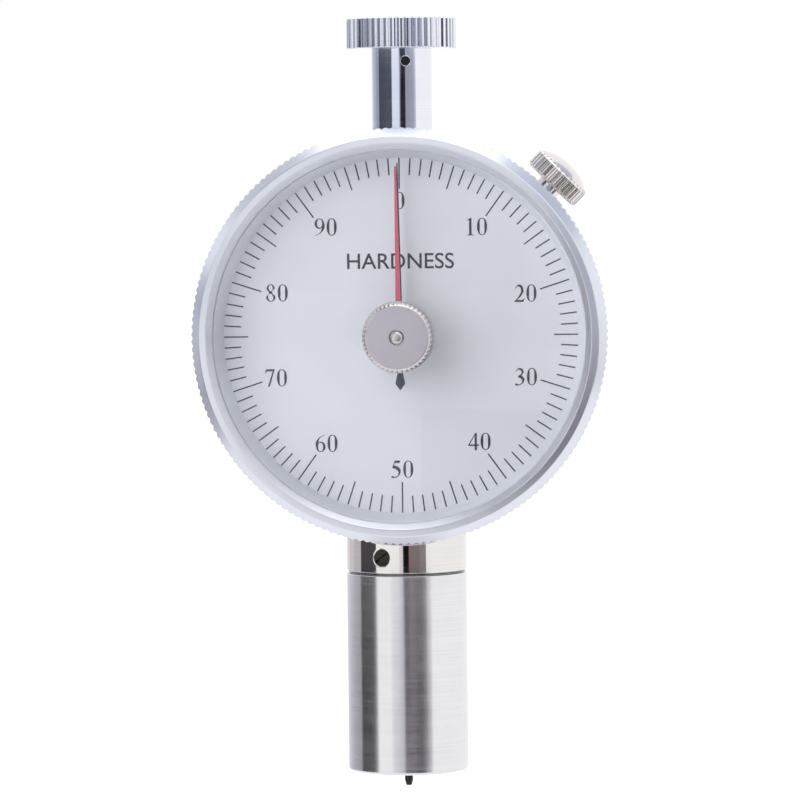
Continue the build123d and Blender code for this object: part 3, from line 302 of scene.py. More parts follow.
def clear_plastic(name):
    """Acrylic sheet, clear and polished. Lamps and the light from the dial pass straight through it."""
    material, tree, output = start_material(name)
    coordinates = add(tree, "ShaderNodeTexCoord").outputs["Object"]
    haze = add(tree, "ShaderNodeTexNoise", {"Scale": 1 / (PLASTIC_CLOUD * MM), "Detail": 4.0},
               {"Vector": coordinates})
    shine = add(tree, "ShaderNodeMapRange", {"To Min": 0.0, "To Max": 0.03}, {"Value": haze.outputs[0]})
    glass = add(tree, "ShaderNodeBsdfPrincipled",
                {"Base Color": colour("#FDFEFF"), "Transmission Weight": 1.0, "IOR": 1.49,
                 "Specular IOR Level": 0.4},
                {"Roughness": shine.outputs[0]})
    through = add(tree, "ShaderNodeBsdfTransparent", {"Color": colour("#FAFBFD")})
    ray = add(tree, "ShaderNodeLightPath")
    either = add(tree, "ShaderNodeMath", {"operation": "MAXIMUM"},
                 {0: ray.outputs["Is Shadow Ray"], 1: ray.outputs["Is Diffuse Ray"]})
    mixed = add(tree, "ShaderNodeMixShader",
                links={0: either.outputs[0], 1: glass.outputs[0], 2: through.outputs[0]})
    finish_with(tree, output, mixed)
    return material


# Anodised aluminium, turned: pale, cool and satin, with rings round the dial
satin_aluminium = machined_metal("satin_anodised_aluminium", "#E8EBF4", "#DFE2EC", 0.3,
                                 centre=DIAL_CENTRE, turn=FACING, line=0.15, depth=0.0015, edge=0.06)
# Aluminium casting, bead blasted: dull grey with an even sparkle
cast_aluminium = blasted_metal("blasted_cast_aluminium", "#BEC0C6", "#A9ACB3", 0.46, 0.16, 0.012)
# Stainless steel, turned: cuts round the barrel draw the reflections out along it, with painted shade in
# its joints
turned_steel = machined_metal("turned_stainless_steel", "#EDECEE", "#E3E2E5", 0.2, line=0.16,
                              depth=0.0006, anisotropy=0.75, edge=0.1, joint_shade_reach=0.4)
# Stainless steel, polished: near mirror, with a trace of the last cuts and painted shade in its joints
polished_steel = machined_metal("polished_stainless_steel", "#EEEAE9", "#E7E3E2", 0.06, line=0.3,
                                depth=0.0003, edge=0.1, joint_shade_reach=0.4)
# Chrome on steel: a hard cool mirror
chrome_plate = machined_metal("bright_chrome_plate", "#F1F3FA", "#E8EBF4", 0.07, line=0.35,
                              depth=0.0012, edge=0.08)
# Nickel on brass, turned: a soft satin grey
nickel_plate = machined_metal("satin_nickel_plate", "#DBD8DB", "#D0CDD0", 0.22, centre=DIAL_CENTRE,
                              turn=FACING, line=0.12, depth=0.001, edge=0.04)
# Mild steel, ground: grey with fine cuts
plain_steel = machined_metal("ground_steel", "#B9BABD", "#9A9B9F", 0.32, line=0.2, depth=0.003)
# Spring steel, blued: dark with a blue cast
spring_steel = machined_metal("blued_spring_steel", "#5A6376", "#3B4254", 0.30, line=0.2, depth=0.002)
# Steel blackened with oxide: dark and a little oily
black_steel = machined_metal("black_oxide_steel", "#4A4846", "#2B2A29", 0.34, line=0.15, depth=0.004)
# Free-cutting brass, milled: yellow with fine cuts
brass = machined_metal("milled_brass", "#DDBF77", "#B8954C", 0.30, centre=DIAL_CENTRE, turn=FACING,
                       line=0.2, depth=0.003)
# Silvered enamel on the dial: pale, cool and matt
dial_enamel = painted("silvered_dial_enamel", "#E0E0E5", "#D9D9DE", 0.42, 0.12, 0.0015)
# The same enamel on the wall round the dial, painted a little darker as shade on the wall
ring_enamel = painted("silvered_ring_enamel", "#DADCE3", "#D3D5DC", 0.38, 0.12, 0.0015)
# Printing ink and hand lacquers: nearly flat, with a slight gloss
dial_ink = painted("dark_dial_ink", "#242636", "#1C1E2D", 0.6, 0.05, 0.0005, shine_level=0.15)
pointer_black = painted("blue_black_hand_lacquer", "#26263C", "#1F1F33", 0.5, 0.1, 0.001, shine_level=0.1)
pointer_red = painted("rose_red_hand_lacquer", "#CC566A", "#C24C60", 0.5, 0.1, 0.001, shine_level=0.2)
# Silicone rubber gasket: pale and dull, its colour raised near white as painted light, standing in for the
# light that barely reaches it
rubber = painted("pale_silicone_rubber", "#F2F3F7", "#EAECF1", 0.6, 0.2, 0.01)
acrylic = clear_plastic("clear_acrylic")

slot_finish = {
    "satin_aluminium": satin_aluminium, "cast_aluminium": cast_aluminium, "turned_steel": turned_steel,
    "polished_steel": polished_steel, "chrome_plate": chrome_plate, "nickel_plate": nickel_plate,
    "plain_steel": plain_steel, "spring_steel": spring_steel, "black_steel": black_steel, "brass": brass,
    "dial_enamel": dial_enamel, "dial_ring_enamel": ring_enamel, "pointer_black": pointer_black,
    "pointer_red": pointer_red, "clear_acrylic": acrylic, "pale_rubber": rubber,
}
node_slot = {entry["node"]: entry["material_slot"] for entry in frame["record"]["subparts"]}
for node_name, node in nodes.items():
    finish = slot_finish[node_slot[node_name]]
    if not node.material_slots:
        node.data.materials.append(finish)
    for slot in node.material_slots:
        slot.material = finish


# ---------------------------------------------------------------- modelling helpers

AXES = {"Y": Vector((0, 1, 0)), "Z": Vector((0, 0, 1))}
CORNER_SHARE = 0.3      # rounding a corner takes this much of the edges beside it at most
CORNER_FLANK = 1.5      # a ring stands beside it, this many times as far from the corner as the round goes


def deselect():
    """Leave edit mode and select nothing."""
    if bpy.context.mode != "OBJECT":
        bpy.ops.object.mode_set(mode="OBJECT")
    bpy.ops.object.select_all(action="DESELECT")


def take(piece):
    """Select this piece alone and make it the active one."""
    deselect()
    piece.select_set(True)
    bpy.context.view_layer.objects.active = piece


def apply_place():
    """Put the selected object's place, turn and size into its mesh."""
    bpy.ops.object.transform_apply(location=True, rotation=True, scale=True)


def pick(piece, wanted):
    """In edit mode, select the vertices whose place in millimetres is wanted."""
    bpy.context.tool_settings.mesh_select_mode = (True, False, False)
    bpy.ops.object.mode_set(mode="EDIT")
    bpy.ops.mesh.select_all(action="DESELECT")
    bpy.ops.object.mode_set(mode="OBJECT")
    for vertex in piece.data.vertices:
        vertex.select = bool(wanted(vertex.co / MM))
    bpy.ops.object.mode_set(mode="EDIT")


def settle(piece, finish, smooth=35.0):
    """Merge doubles, point the faces outwards, shade smooth up to an angle in degrees, and paint."""
    bpy.ops.object.mode_set(mode="EDIT")
    bpy.ops.mesh.select_all(action="SELECT")
    bpy.ops.mesh.remove_doubles(threshold=MERGE_GAP * MM)
    bpy.ops.mesh.normals_make_consistent(inside=False)
    bpy.ops.object.mode_set(mode="OBJECT")
    bpy.ops.object.shade_smooth_by_angle(angle=radians(smooth))
    piece.data.materials.clear()
    piece.data.materials.append(finish)


def eased(profile, size, steps=2):
    """A (radius, place) profile with its corners rounded, except at its two ends.

    A further ring stands just beyond each side of a corner, so that the flats stay flat when shaded.
    """
    points = [profile[0]]
    for before, corner, after in zip(profile, profile[1:], profile[2:]):
        before, corner, after = Vector(before), Vector(corner), Vector(after)
        cut = min(size, (before - corner).length * CORNER_SHARE, (after - corner).length * CORNER_SHARE)
        back, on = (before - corner).normalized(), (after - corner).normalized()
        points.append(tuple(corner + back * cut * CORNER_FLANK))
        for step in range(steps + 1):
            t = step / steps
            points.append(tuple(corner + back * cut * (1 - t) ** 2 + on * cut * t ** 2))
        points.append(tuple(corner + on * cut * CORNER_FLANK))
    points.append(profile[-1])
    return points


def turned(name, profile, sides, centre=(0, 0, 0), axis="Z", closed=False):
    """Turn a (radius, place along the axis) profile: a circle, extruded and scaled from step to step.

    A profile that starts or ends at radius 0 is closed there, and closed joins its two ends.
    """
    deselect()
    along = AXES[axis]
    centre = Vector(centre)
    radius, place = profile[0]
    pole_first = radius == 0
    if pole_first:
        radius = profile[1][0]
    bpy.ops.mesh.primitive_circle_add(
        vertices=sides, radius=radius * MM, location=(centre + along * place) * MM,
        rotation=(radians(90) if axis == "Y" else 0, 0, 0), fill_type="NGON" if pole_first else "NOTHING")
    piece = bpy.context.object
    piece.name = name
    piece.data.name = name
    apply_place()
    bpy.ops.object.mode_set(mode="EDIT")
    bpy.ops.mesh.select_all(action="SELECT")
    if pole_first:
        bpy.ops.mesh.poke()
        pole = centre + along * place
        pick(piece, lambda p: (p - pole).length > radius / 2)
        step = profile[1][1] - place
        if step:
            bpy.ops.transform.translate(value=along * step * MM)
        place = profile[1][1]
        rest = profile[2:]
    else:
        rest = profile[1:]
    bpy.context.tool_settings.mesh_select_mode = (False, True, False)
    for next_radius, next_place in rest:
        bpy.ops.mesh.extrude_edges_move(
            TRANSFORM_OT_translate={"value": along * (next_place - place) * MM})
        if next_radius == 0:
            bpy.ops.mesh.merge(type="CENTER")
            break
        scale = next_radius / radius
        if scale != 1:
            value = (scale, 1, scale) if axis == "Y" else (scale, scale, 1)
            bpy.ops.transform.resize(value=value, center_override=(centre + along * next_place) * MM)
        radius, place = next_radius, next_place
    if closed:
        ends = (profile[0], profile[-1])
        other = [i for i in range(3) if not along[i]]

        def at_end(p):
            p = p - centre
            r = hypot(p[other[0]], p[other[1]])
            return any(abs(r - end_radius) < SAME_PLACE and abs(p @ along - end_place) < SAME_PLACE
                       for end_radius, end_place in ends)

        pick(piece, at_end)
        bpy.context.tool_settings.mesh_select_mode = (False, True, False)
        bpy.ops.mesh.bridge_edge_loops()
    bpy.ops.object.mode_set(mode="OBJECT")
    return piece


def flute(piece, count, columns, depths, centre, axis, reach, corner=None, slope=0.0):
    """Push columns of a turned piece's vertices inwards to cut straight flutes.

    depths gives each column's cut within one flute, and reach says which vertices are cut. The ones that
    corner picks stand on a chamfer, and slide along it by slope for each millimetre cut.
    """
    centre = Vector(centre)
    step = 2 * pi / (count * columns)

    def column(p):
        q = p - centre
        angle = atan2(q.z, q.x) if axis == "Y" else atan2(q.y, q.x)
        return round(angle / step) % columns

    def radius(p):
        q = p - centre
        return hypot(q.x, q.z) if axis == "Y" else hypot(q.x, q.y)

    largest = max(radius(v.co / MM) for v in piece.data.vertices if reach(v.co / MM))
    for number, depth in enumerate(depths):
        if not depth:
            continue
        scale = 1 - depth / largest
        value = (scale, 1, scale) if axis == "Y" else (scale, scale, 1)
        if corner:
            pick(piece, lambda p: reach(p) and corner(p) and column(p) == number)
            bpy.ops.transform.translate(value=AXES[axis] * (depth * slope) * MM)
        pick(piece, lambda p: reach(p) and column(p) == number)
        bpy.ops.transform.resize(value=value, center_override=centre * MM)
    bpy.ops.object.mode_set(mode="OBJECT")


# ---------------------------------------------------------------- bezel ring

BEZEL_FLUTES = 172
BEZEL_COLUMNS = 6
BEZEL_DEPTHS = (0.26, 0.14, 0.03, 0.0, 0.03, 0.14)
KNURL_FRONT = -11.4
KNURL_REAR = -8.4
KNURL_ROOT = 30.42              # the flutes run out at this radius
ROOT_DEPTH = 0.28               # which is so far inside the bezel's own
CHAMFER_SLOPE = 1.9 / 1.3       # along the axis for each millimetre outwards
CHAMFER_RUNOUT = (KNURL_ROOT, KNURL_FRONT - ROOT_DEPTH * CHAMFER_SLOPE)


def on_bezel_rim(p):
    return hypot(p.x, p.z - DIAL_HEIGHT) > 30.65


def on_chamfer(p):
    return abs(p.y - KNURL_FRONT) < 0.01


bezel_front = eased([(27.5, -12.655), (28.35, -13.5), (29.4, -13.3), CHAMFER_RUNOUT], size=0.1, steps=3)
bezel_knurl = [(BEZEL_RADIUS, KNURL_FRONT), (BEZEL_RADIUS, KNURL_REAR), (KNURL_ROOT, KNURL_REAR)]
bezel_back = eased([(30.4, KNURL_REAR), (29.4, KNURL_REAR), (29.4, -4.6), (28.15, -4.6), (28.15, -5.0)],
                   size=0.08)
bezel = turned("bezel_ring_knurled", bezel_front + bezel_knurl + bezel_back + [(28.15, -12.65)],
               BEZEL_FLUTES * BEZEL_COLUMNS, DIAL_CENTRE, "Y", closed=True)
flute(bezel, BEZEL_FLUTES, BEZEL_COLUMNS, BEZEL_DEPTHS, DIAL_CENTRE, "Y", on_bezel_rim, on_chamfer,
      -CHAMFER_SLOPE)
settle(bezel, satin_aluminium, smooth=24)
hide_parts("bezel_ring")
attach(bezel, "bezel")


# ---------------------------------------------------------------- top cap

CAP_FLUTES = 48
CAP_COLUMNS = 8
CAP_DEPTHS = (0.35, 0.22, 0.03, 0.0, 0.0, 0.0, 0.03, 0.22)


def on_cap_rim(p):
    return hypot(p.x, p.y) > 7.9


cap_top = [(0, 112.5), (2.0, 112.47), (4.0, 112.4), (6.0, 112.28)]
cap_side = eased([(7.0, 112.22), (8.03, 112.2), (8.15, 112.08), (8.15, 107.8), (8.05, 107.7), (3.9, 107.7)],
                 size=0.1)
cap_bore = [(3.72, 107.7), (3.72, 110.3), (0, 110.3)]
cap = turned("fluted_cap", cap_top + cap_side + cap_bore, CAP_FLUTES * CAP_COLUMNS)
flute(cap, CAP_FLUTES, CAP_COLUMNS, CAP_DEPTHS, (0, 0, 0), "Z", on_cap_rim)
settle(cap, chrome_plate, smooth=30)
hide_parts("top_cap")
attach(cap, "cap")


# ---------------------------------------------------------------- drag hand's knob

KNOB_FLUTES = 44
KNOB_COLUMNS = 6
KNOB_DEPTHS = (0.3, 0.2, 0.04, 0.0, 0.04, 0.2)


def on_knob_rim(p):
    return 5.09 < hypot(p.x, p.z - DIAL_HEIGHT) < 5.15 and p.y < -13.92


knob_front = eased([(0.9, -15.0), (1.12, -15.0), (1.12, -16.2), (4.62, -16.2), (4.76, -16.1)], size=0.05)
knob_side = [(5.1, -15.95), (5.1, -13.95)]
knob_back = eased([(5.08, -13.9), (5.3, -13.9), (5.3, -13.3), (3.8, -13.3), (3.8, -13.8), (0.9, -13.8)],
                  size=0.05)
knob = turned("drag_knob_knurled", knob_front + knob_side + knob_back, KNOB_FLUTES * KNOB_COLUMNS,
              DIAL_CENTRE, "Y", closed=True)
flute(knob, KNOB_FLUTES, KNOB_COLUMNS, KNOB_DEPTHS, DIAL_CENTRE, "Y", on_knob_rim)
settle(knob, nickel_plate, smooth=30)
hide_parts("drag_knob")
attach(knob, "drag_hand_group")

# Stainless steel, turned and lapped: satin, a little softer than the knob round it
pin_steel = machined_metal("satin_steel_pin", "#DCD9DA", "#CFCCCD", 0.3, centre=DIAL_CENTRE, turn=FACING,
                           line=0.12, depth=0.001, edge=0.04)
PIN_SIDES = 48
pin_profile = [(0, -16.7), (0.3, -16.69), (0.6, -16.65), (0.78, -16.58), (0.86, -16.48), (0.875, -16.36),
               (0.875, -15.2), (0.875, -11.2), (0.82, -11.15), (0, -11.15)]
pin = turned("drag_pin_domed", pin_profile, PIN_SIDES, DIAL_CENTRE, "Y")
settle(pin, pin_steel)
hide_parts("drag_shaft")
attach(pin, "drag_hand_group")


# ---------------------------------------------------------------- bezel clamp's knob

CLAMP_FLUTES = 32
CLAMP_COLUMNS = 8
CLAMP_DEPTHS = (0.3, 0.3, 0.04, 0.0, 0.0, 0.0, 0.04, 0.3)
CLAMP_BASE = 31.2             # from the dial's centre to the underside of the knob's rim
CLAMP_ANGLE = 45.0            # degrees from upright
CLAMP_AXIS_Y = 0.8


def on_clamp_rim(p):
    return hypot(p.x, p.y) > 4.42 and 0.1 < p.z < 2.75


clamp_dome = [(0, 4.1), (1.2, 4.04), (2.4, 3.8), (3.4, 3.38), (4.0, 3.05)]
clamp_side = eased([(4.3, 2.85), (4.55, 2.7), (4.7, 2.45), (4.7, 0.3), (4.5, 0.0), (1.9, 0.0), (1.9, -1.05),
                    (1.52, -1.05)], size=0.06)
clamp_bore = [(1.52, 1.96), (0, 1.96)]
clamp = turned("clamp_knob_fluted", clamp_dome + clamp_side + clamp_bore, CLAMP_FLUTES * CLAMP_COLUMNS)
flute(clamp, CLAMP_FLUTES, CLAMP_COLUMNS, CLAMP_DEPTHS, (0, 0, 0), "Z", on_clamp_rim)
clamp_turn = radians(CLAMP_ANGLE)
clamp_place = Vector((sin(clamp_turn) * CLAMP_BASE, CLAMP_AXIS_Y,
                      DIAL_HEIGHT + cos(clamp_turn) * CLAMP_BASE))
clamp.matrix_world = Matrix.Translation(clamp_place * MM) @ Matrix.Rotation(clamp_turn, 4, "Y")
apply_place()
# The same nickel plate, painted paler and brighter on this knob: a lit copy, painted light
clamp_nickel_lit = machined_metal("satin_nickel_plate_clamp", "#F2EEED", "#E4E0DF", 0.17,
                              centre=(0, CLAMP_AXIS_Y, DIAL_HEIGHT), turn=CLAMPED, line=0.12,
                              depth=0.001, edge=0.04)
settle(clamp, clamp_nickel_lit, smooth=30)
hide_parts("clamp_knob")
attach(clamp, "clamp_knob_group")


# ---------------------------------------------------------------- presser foot

FOOT_SIDES = 256

foot_profile = eased([(1.5, 2.5), (1.5, 0.0), (8.7, 0.0), (9.0, 0.3), (9.0, 29.6), (8.5, 29.6), (8.5, 29.8),
                      (6.0, 29.8), (6.0, 33.4), (5.0, 33.4), (5.0, 2.5)], size=0.08)
foot = turned("foot_barrel_turned", foot_profile, FOOT_SIDES, closed=True)
settle(foot, turned_steel, smooth=30)
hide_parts("presser_foot")
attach(foot, "housing")


# ---------------------------------------------------------------- collar

def worked_copy(node, name):
    """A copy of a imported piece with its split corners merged, ready to be shaped further."""
    node.hide_set(False)
    take(node)
    bpy.ops.object.duplicate()
    piece = bpy.context.object
    bpy.ops.object.parent_clear(type="CLEAR_KEEP_TRANSFORM")
    apply_place()
    piece.name = name
    piece.data.name = name
    bpy.ops.object.mode_set(mode="EDIT")
    bpy.ops.mesh.select_all(action="SELECT")
    bpy.ops.mesh.remove_doubles(threshold=MERGE_GAP * MM)
    bpy.ops.mesh.customdata_custom_splitnormals_clear()
    bpy.ops.object.mode_set(mode="OBJECT")
    return piece


COLLAR_TOP = 34.0
COLLAR_FRONT = -7.59
BEZEL_CLEARANCE = 0.1


def on_front_lip(p):
    """The rim of the collar's top, edge and chamfer alike, in front of COLLAR_FRONT."""
    return -0.21 < p.z - COLLAR_TOP < 0.01 and hypot(p.x, p.y) > 8.7 and p.y < COLLAR_FRONT


# The collar's front lip rises to meet the round of the bezel
collar = worked_copy(nodes["collar"], "collar_lipped")
lip_places = sorted({round(v.co.x / MM, 3) for v in collar.data.vertices if on_front_lip(v.co / MM)})
for across in lip_places:
    rise = DIAL_HEIGHT - sqrt((BEZEL_RADIUS + BEZEL_CLEARANCE) ** 2 - across ** 2) - COLLAR_TOP
    pick(collar, lambda p: on_front_lip(p) and abs(p.x - across) < SAME_PLACE)
    bpy.ops.transform.translate(value=(0, 0, rise * MM))
settle(collar, polished_steel, smooth=30)
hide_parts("collar")
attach(collar, "housing")


# ---------------------------------------------------------------- load spring

load_spring = worked_copy(nodes["main_spring"], "load_spring_coil")
settle(load_spring, spring_steel, smooth=40)
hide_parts("main_spring")
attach(load_spring, "housing")
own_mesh(load_spring)


# ---------------------------------------------------------------- printing on the dial

INK_HEIGHT = 0.02
INK_EDGE = 0.004            # how far a scale line's edges are eased
INK_SPREAD = 0.02           # how far the ink spreads past the word's outlines
DIVISIONS = 100
TICK_WIDTH = 0.2
TICK_LENGTHS = {0: 4.55, 5: 3.56, 1: 2.48}      # every tenth line, every fifth, and the rest
NUMERAL_HEIGHT = 2.58
NUMERAL_STRETCH = 1.29      # across
WORD = "HARDNESS"
WORD_HEIGHT = 2.28
WORD_PLACE = (0.0, 10.9)    # across and up from the dial's centre
CAPITAL_SHARE = 0.70        # a capital letter's height in the lettering's size
OUTLINE_STEPS = 5           # from one point of a figure's outline to the next


def cut_mark(length, name):
    """One scale line of raised ink at the top of the dial, its edges just eased."""
    deselect()
    middle = Vector((0, DIAL_FRONT - INK_HEIGHT / 2, DIAL_HEIGHT + SCALE_RADIUS - length / 2)) * MM
    bpy.ops.mesh.primitive_cube_add(size=1, location=middle,
                                    scale=Vector((TICK_WIDTH, INK_HEIGHT, length)) * MM)
    mark = bpy.context.object
    mark.name = name
    apply_place()
    bpy.ops.object.mode_set(mode="EDIT")
    bpy.ops.mesh.select_all(action="SELECT")
    bpy.ops.mesh.bevel(offset=INK_EDGE * MM, segments=1)
    bpy.ops.object.mode_set(mode="OBJECT")
    return mark


def copied(piece):
    """A copy with a mesh of its own."""
    take(piece)
    bpy.ops.object.duplicate()
    return bpy.context.object


def join(pieces, name):
    """Make one piece of several."""
    deselect()
    for piece in pieces:
        piece.select_set(True)
    bpy.context.view_layer.objects.active = pieces[0]
    bpy.ops.object.join()
    whole = bpy.context.object
    whole.name = name
    whole.data.name = name
    return whole


masters = {kind: cut_mark(length, f"mark_{kind}") for kind, length in TICK_LENGTHS.items()}
marks = []
for number in range(DIVISIONS):
    kind = number % 10 if number % 10 in TICK_LENGTHS else 1
    mark = copied(masters[kind])
    bpy.ops.transform.rotate(value=radians(number * 360 / DIVISIONS), orient_axis="Y",
                             center_override=Vector(DIAL_CENTRE) * MM)
    apply_place()
    marks.append(mark)
deselect()
for master in masters.values():
    master.select_set(True)
bpy.ops.object.delete()
scale_marks = join(marks, "scale_marks")
settle(scale_marks, dial_ink)
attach(scale_marks, "bezel")

# Serif numerals, drawn by their outlines in a box 1 high. A point marked 1 is a corner, and the rest flow.
NUMERAL_OUTLINES = {
    "0": [[(0.25, 1.0, 0), (0.475, 0.5, 0), (0.25, 0.0, 0), (0.025, 0.5, 0)],
          [(0.25, 0.955, 0), (0.15, 0.5, 0), (0.25, 0.045, 0), (0.35, 0.5, 0)]],
    "1": [[(0.11, 0.0, 1), (0.41, 0.0, 1), (0.41, 0.03, 1), (0.315, 0.06, 1), (0.315, 1.0, 1),
           (0.28, 1.0, 1), (0.1, 0.88, 1), (0.11, 0.85, 1), (0.205, 0.87, 1), (0.205, 0.06, 1),
           (0.11, 0.03, 1)]],
    "2": [[(0.02, 0.0, 1), (0.42, 0.0, 1), (0.48, 0.2, 1), (0.45, 0.2, 1), (0.38, 0.115, 1),
           (0.14, 0.115, 1), (0.34, 0.38, 0), (0.43, 0.71, 0), (0.25, 1.0, 0), (0.04, 0.77, 1),
           (0.07, 0.76, 1), (0.2, 0.89, 0), (0.32, 0.69, 0), (0.24, 0.37, 0), (0.02, 0.035, 1)]],
    "3": [[(0.05, 0.8, 1), (0.23, 1.0, 0), (0.42, 0.79, 0), (0.32, 0.58, 1), (0.45, 0.32, 0),
           (0.17, 0.0, 0), (0.03, 0.055, 0), (0.07, 0.115, 0), (0.2, 0.055, 0), (0.345, 0.28, 0),
           (0.15, 0.49, 1), (0.15, 0.525, 1), (0.32, 0.74, 0), (0.21, 0.9, 0), (0.075, 0.785, 1)]],
    "4": [[(0.29, 0.0, 1), (0.39, 0.0, 1), (0.39, 0.24, 1), (0.48, 0.24, 1), (0.48, 0.33, 1),
           (0.39, 0.33, 1), (0.39, 1.0, 1), (0.325, 1.0, 1), (0.015, 0.33, 1), (0.015, 0.24, 1),
           (0.29, 0.24, 1)],
          [(0.07, 0.33, 1), (0.29, 0.33, 1), (0.29, 0.83, 1)]],
    "5": [[(0.44, 1.0, 1), (0.39, 0.86, 1), (0.18, 0.86, 1), (0.14, 0.72, 1), (0.36, 0.61, 0),
           (0.44, 0.36, 0), (0.31, 0.07, 0), (0.11, 0.0, 0), (0.02, 0.05, 0), (0.06, 0.11, 0),
           (0.22, 0.065, 0), (0.345, 0.3, 0), (0.23, 0.5, 0), (0.06, 0.57, 1), (0.18, 1.0, 1)]],
    "6": [[(0.45, 1.0, 1), (0.16, 0.8, 0), (0.025, 0.37, 0), (0.24, 0.0, 0), (0.47, 0.3, 0), (0.28, 0.6, 0),
           (0.145, 0.53, 1), (0.22, 0.8, 0), (0.45, 0.97, 1)],
          [(0.24, 0.535, 0), (0.135, 0.36, 0), (0.25, 0.045, 0), (0.36, 0.28, 0)]],
    "7": [[(0.08, 1.0, 1), (0.46, 1.0, 1), (0.46, 0.97, 1), (0.23, -0.005, 1), (0.155, -0.005, 1),
           (0.37, 0.88, 1), (0.12, 0.88, 1), (0.045, 0.77, 1), (0.02, 0.785, 1)]],
    "8": [[(0.24, 1.0, 0), (0.42, 0.79, 0), (0.3, 0.56, 0), (0.45, 0.24, 0), (0.24, 0.0, 0),
           (0.035, 0.23, 0), (0.17, 0.5, 0), (0.06, 0.77, 0)],
          [(0.24, 0.955, 0), (0.15, 0.8, 0), (0.265, 0.6, 0), (0.335, 0.79, 0)],
          [(0.2, 0.46, 0), (0.125, 0.23, 0), (0.25, 0.045, 0), (0.355, 0.2, 0)]],
}
FIGURE_WIDTH = 0.49       # in figure heights
FIGURE_ADVANCE = 0.53     # from one figure to the next
NUMERAL_OUTLINES["9"] = [[(FIGURE_WIDTH - x, 1.0 - y, corner) for x, y, corner in outline]
                         for outline in NUMERAL_OUTLINES["6"]]
# Middle of each number on the dial, across and up from the dial's centre
NUMERAL_PLACES = {0: (0.0, 19.95), 10: (11.28, 16.0), 20: (18.47, 6.12), 30: (18.43, -6.2),
                  40: (11.5, -15.73), 50: (0.0, -19.77), 60: (-11.2, -15.86), 70: (-18.6, -6.1),
                  80: (-18.33, 6.47), 90: (-10.96, 16.14)}


def printed(flat, x, z, name):
    """Stand flat lettering up on the dial, facing the reader, with its middle at a place."""
    flat.name = name
    place = Vector((x, DIAL_FRONT - INK_HEIGHT / 2, DIAL_HEIGHT + z))
    flat.matrix_world = Matrix.Translation(place * MM) @ Matrix.Rotation(radians(90), 4, "X")
    take(flat)
    apply_place()
    return flat


def number_print(number):
    """A number drawn as a flat filled curve, then made a mesh."""
    figures = str(number)
    drawing = bpy.data.curves.new(f"numeral_{number}", "CURVE")
    drawing.dimensions = "2D"
    drawing.fill_mode = "BOTH"
    drawing.extrude = INK_HEIGHT / 2 * MM
    drawing.resolution_u = OUTLINE_STEPS
    middle = (FIGURE_WIDTH + FIGURE_ADVANCE * (len(figures) - 1)) / 2
    for place, figure in enumerate(figures):
        for outline in NUMERAL_OUTLINES[figure]:
            spline = drawing.splines.new("BEZIER")
            spline.bezier_points.add(len(outline) - 1)
            spline.use_cyclic_u = True
            for point, (x, y, corner) in zip(spline.bezier_points, outline):
                across = x + place * FIGURE_ADVANCE - middle
                point.co = (across * NUMERAL_STRETCH * NUMERAL_HEIGHT * MM,
                            (y - 0.5) * NUMERAL_HEIGHT * MM, 0)
                point.handle_left_type = point.handle_right_type = "VECTOR" if corner else "AUTO"
    flat = bpy.data.objects.new(drawing.name, drawing)
    scene.collection.objects.link(flat)
    take(flat)
    bpy.ops.object.convert(target="MESH")
    return printed(bpy.context.object, *NUMERAL_PLACES[number], drawing.name)


def word_print(word, height, x, z):
    """A plain word in capitals of a height, with its middle at a place."""
    deselect()
    bpy.ops.object.text_add(location=(0, 0, 0))
    text = bpy.context.object
    text.data.body = word
    text.data.align_x = "CENTER"
    text.data.align_y = "CENTER"
    text.data.size = height * MM / CAPITAL_SHARE
    text.data.extrude = INK_HEIGHT / 2 * MM
    text.data.offset = INK_SPREAD * MM
    bpy.ops.object.convert(target="MESH")
    return printed(bpy.context.object, x, z, "dial_word")


lettering = [number_print(number) for number in NUMERAL_PLACES]
lettering.append(word_print(WORD, WORD_HEIGHT, *WORD_PLACE))
dial_lettering = join(lettering, "dial_lettering")
settle(dial_lettering, dial_ink)
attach(dial_lettering, "bezel")


# ---------------------------------------------------------------- floor, backdrop light and lamps

FLOOR_SIZE = 6.0          # metres
FLOOR_DROP = 0.02         # it lies this far under the indenter's point
FLOOR_GLOW = 0.84         # what lifts the paper to white
SKY_LEVEL = 0.43          # the even light that falls on the object, where 1 is white


def glow_ray(tree):
    """1 for the rays that should see a white backdrop: from the camera, off metal and through glass."""
    ray = add(tree, "ShaderNodeLightPath")
    first = add(tree, "ShaderNodeMath", {"operation": "MAXIMUM"},
                {0: ray.outputs["Is Camera Ray"], 1: ray.outputs["Is Glossy Ray"]})
    second = add(tree, "ShaderNodeMath", {"operation": "MAXIMUM"},
                 {0: first.outputs[0], 1: ray.outputs["Is Transmission Ray"]})
    return second.outputs[0]


def white_floor():
    """White paper: it keeps the shadow, and lifts to white for the rays that see the backdrop."""
    material, tree, output = start_material("white_paper_floor")
    paper = add(tree, "ShaderNodeBsdfDiffuse", {"Color": colour("#F4F4F6")})
    strength = add(tree, "ShaderNodeMapRange", {"To Min": 0.0, "To Max": FLOOR_GLOW},
                   {"Value": glow_ray(tree)})
    glow = add(tree, "ShaderNodeEmission", {"Color": (1, 1, 1, 1)}, {"Strength": strength.outputs[0]})
    both = add(tree, "ShaderNodeAddShader", links={0: paper.outputs[0], 1: glow.outputs[0]})
    finish_with(tree, output, both)
    return material


deselect()
bpy.ops.mesh.primitive_plane_add(size=FLOOR_SIZE, location=(0, 0, (FLOOR_HEIGHT - FLOOR_DROP) * MM))
floor = bpy.context.object
floor.name = "floor"
floor.data.materials.append(white_floor())
floor.visible_glossy = False      # metal sees the same white from the world below

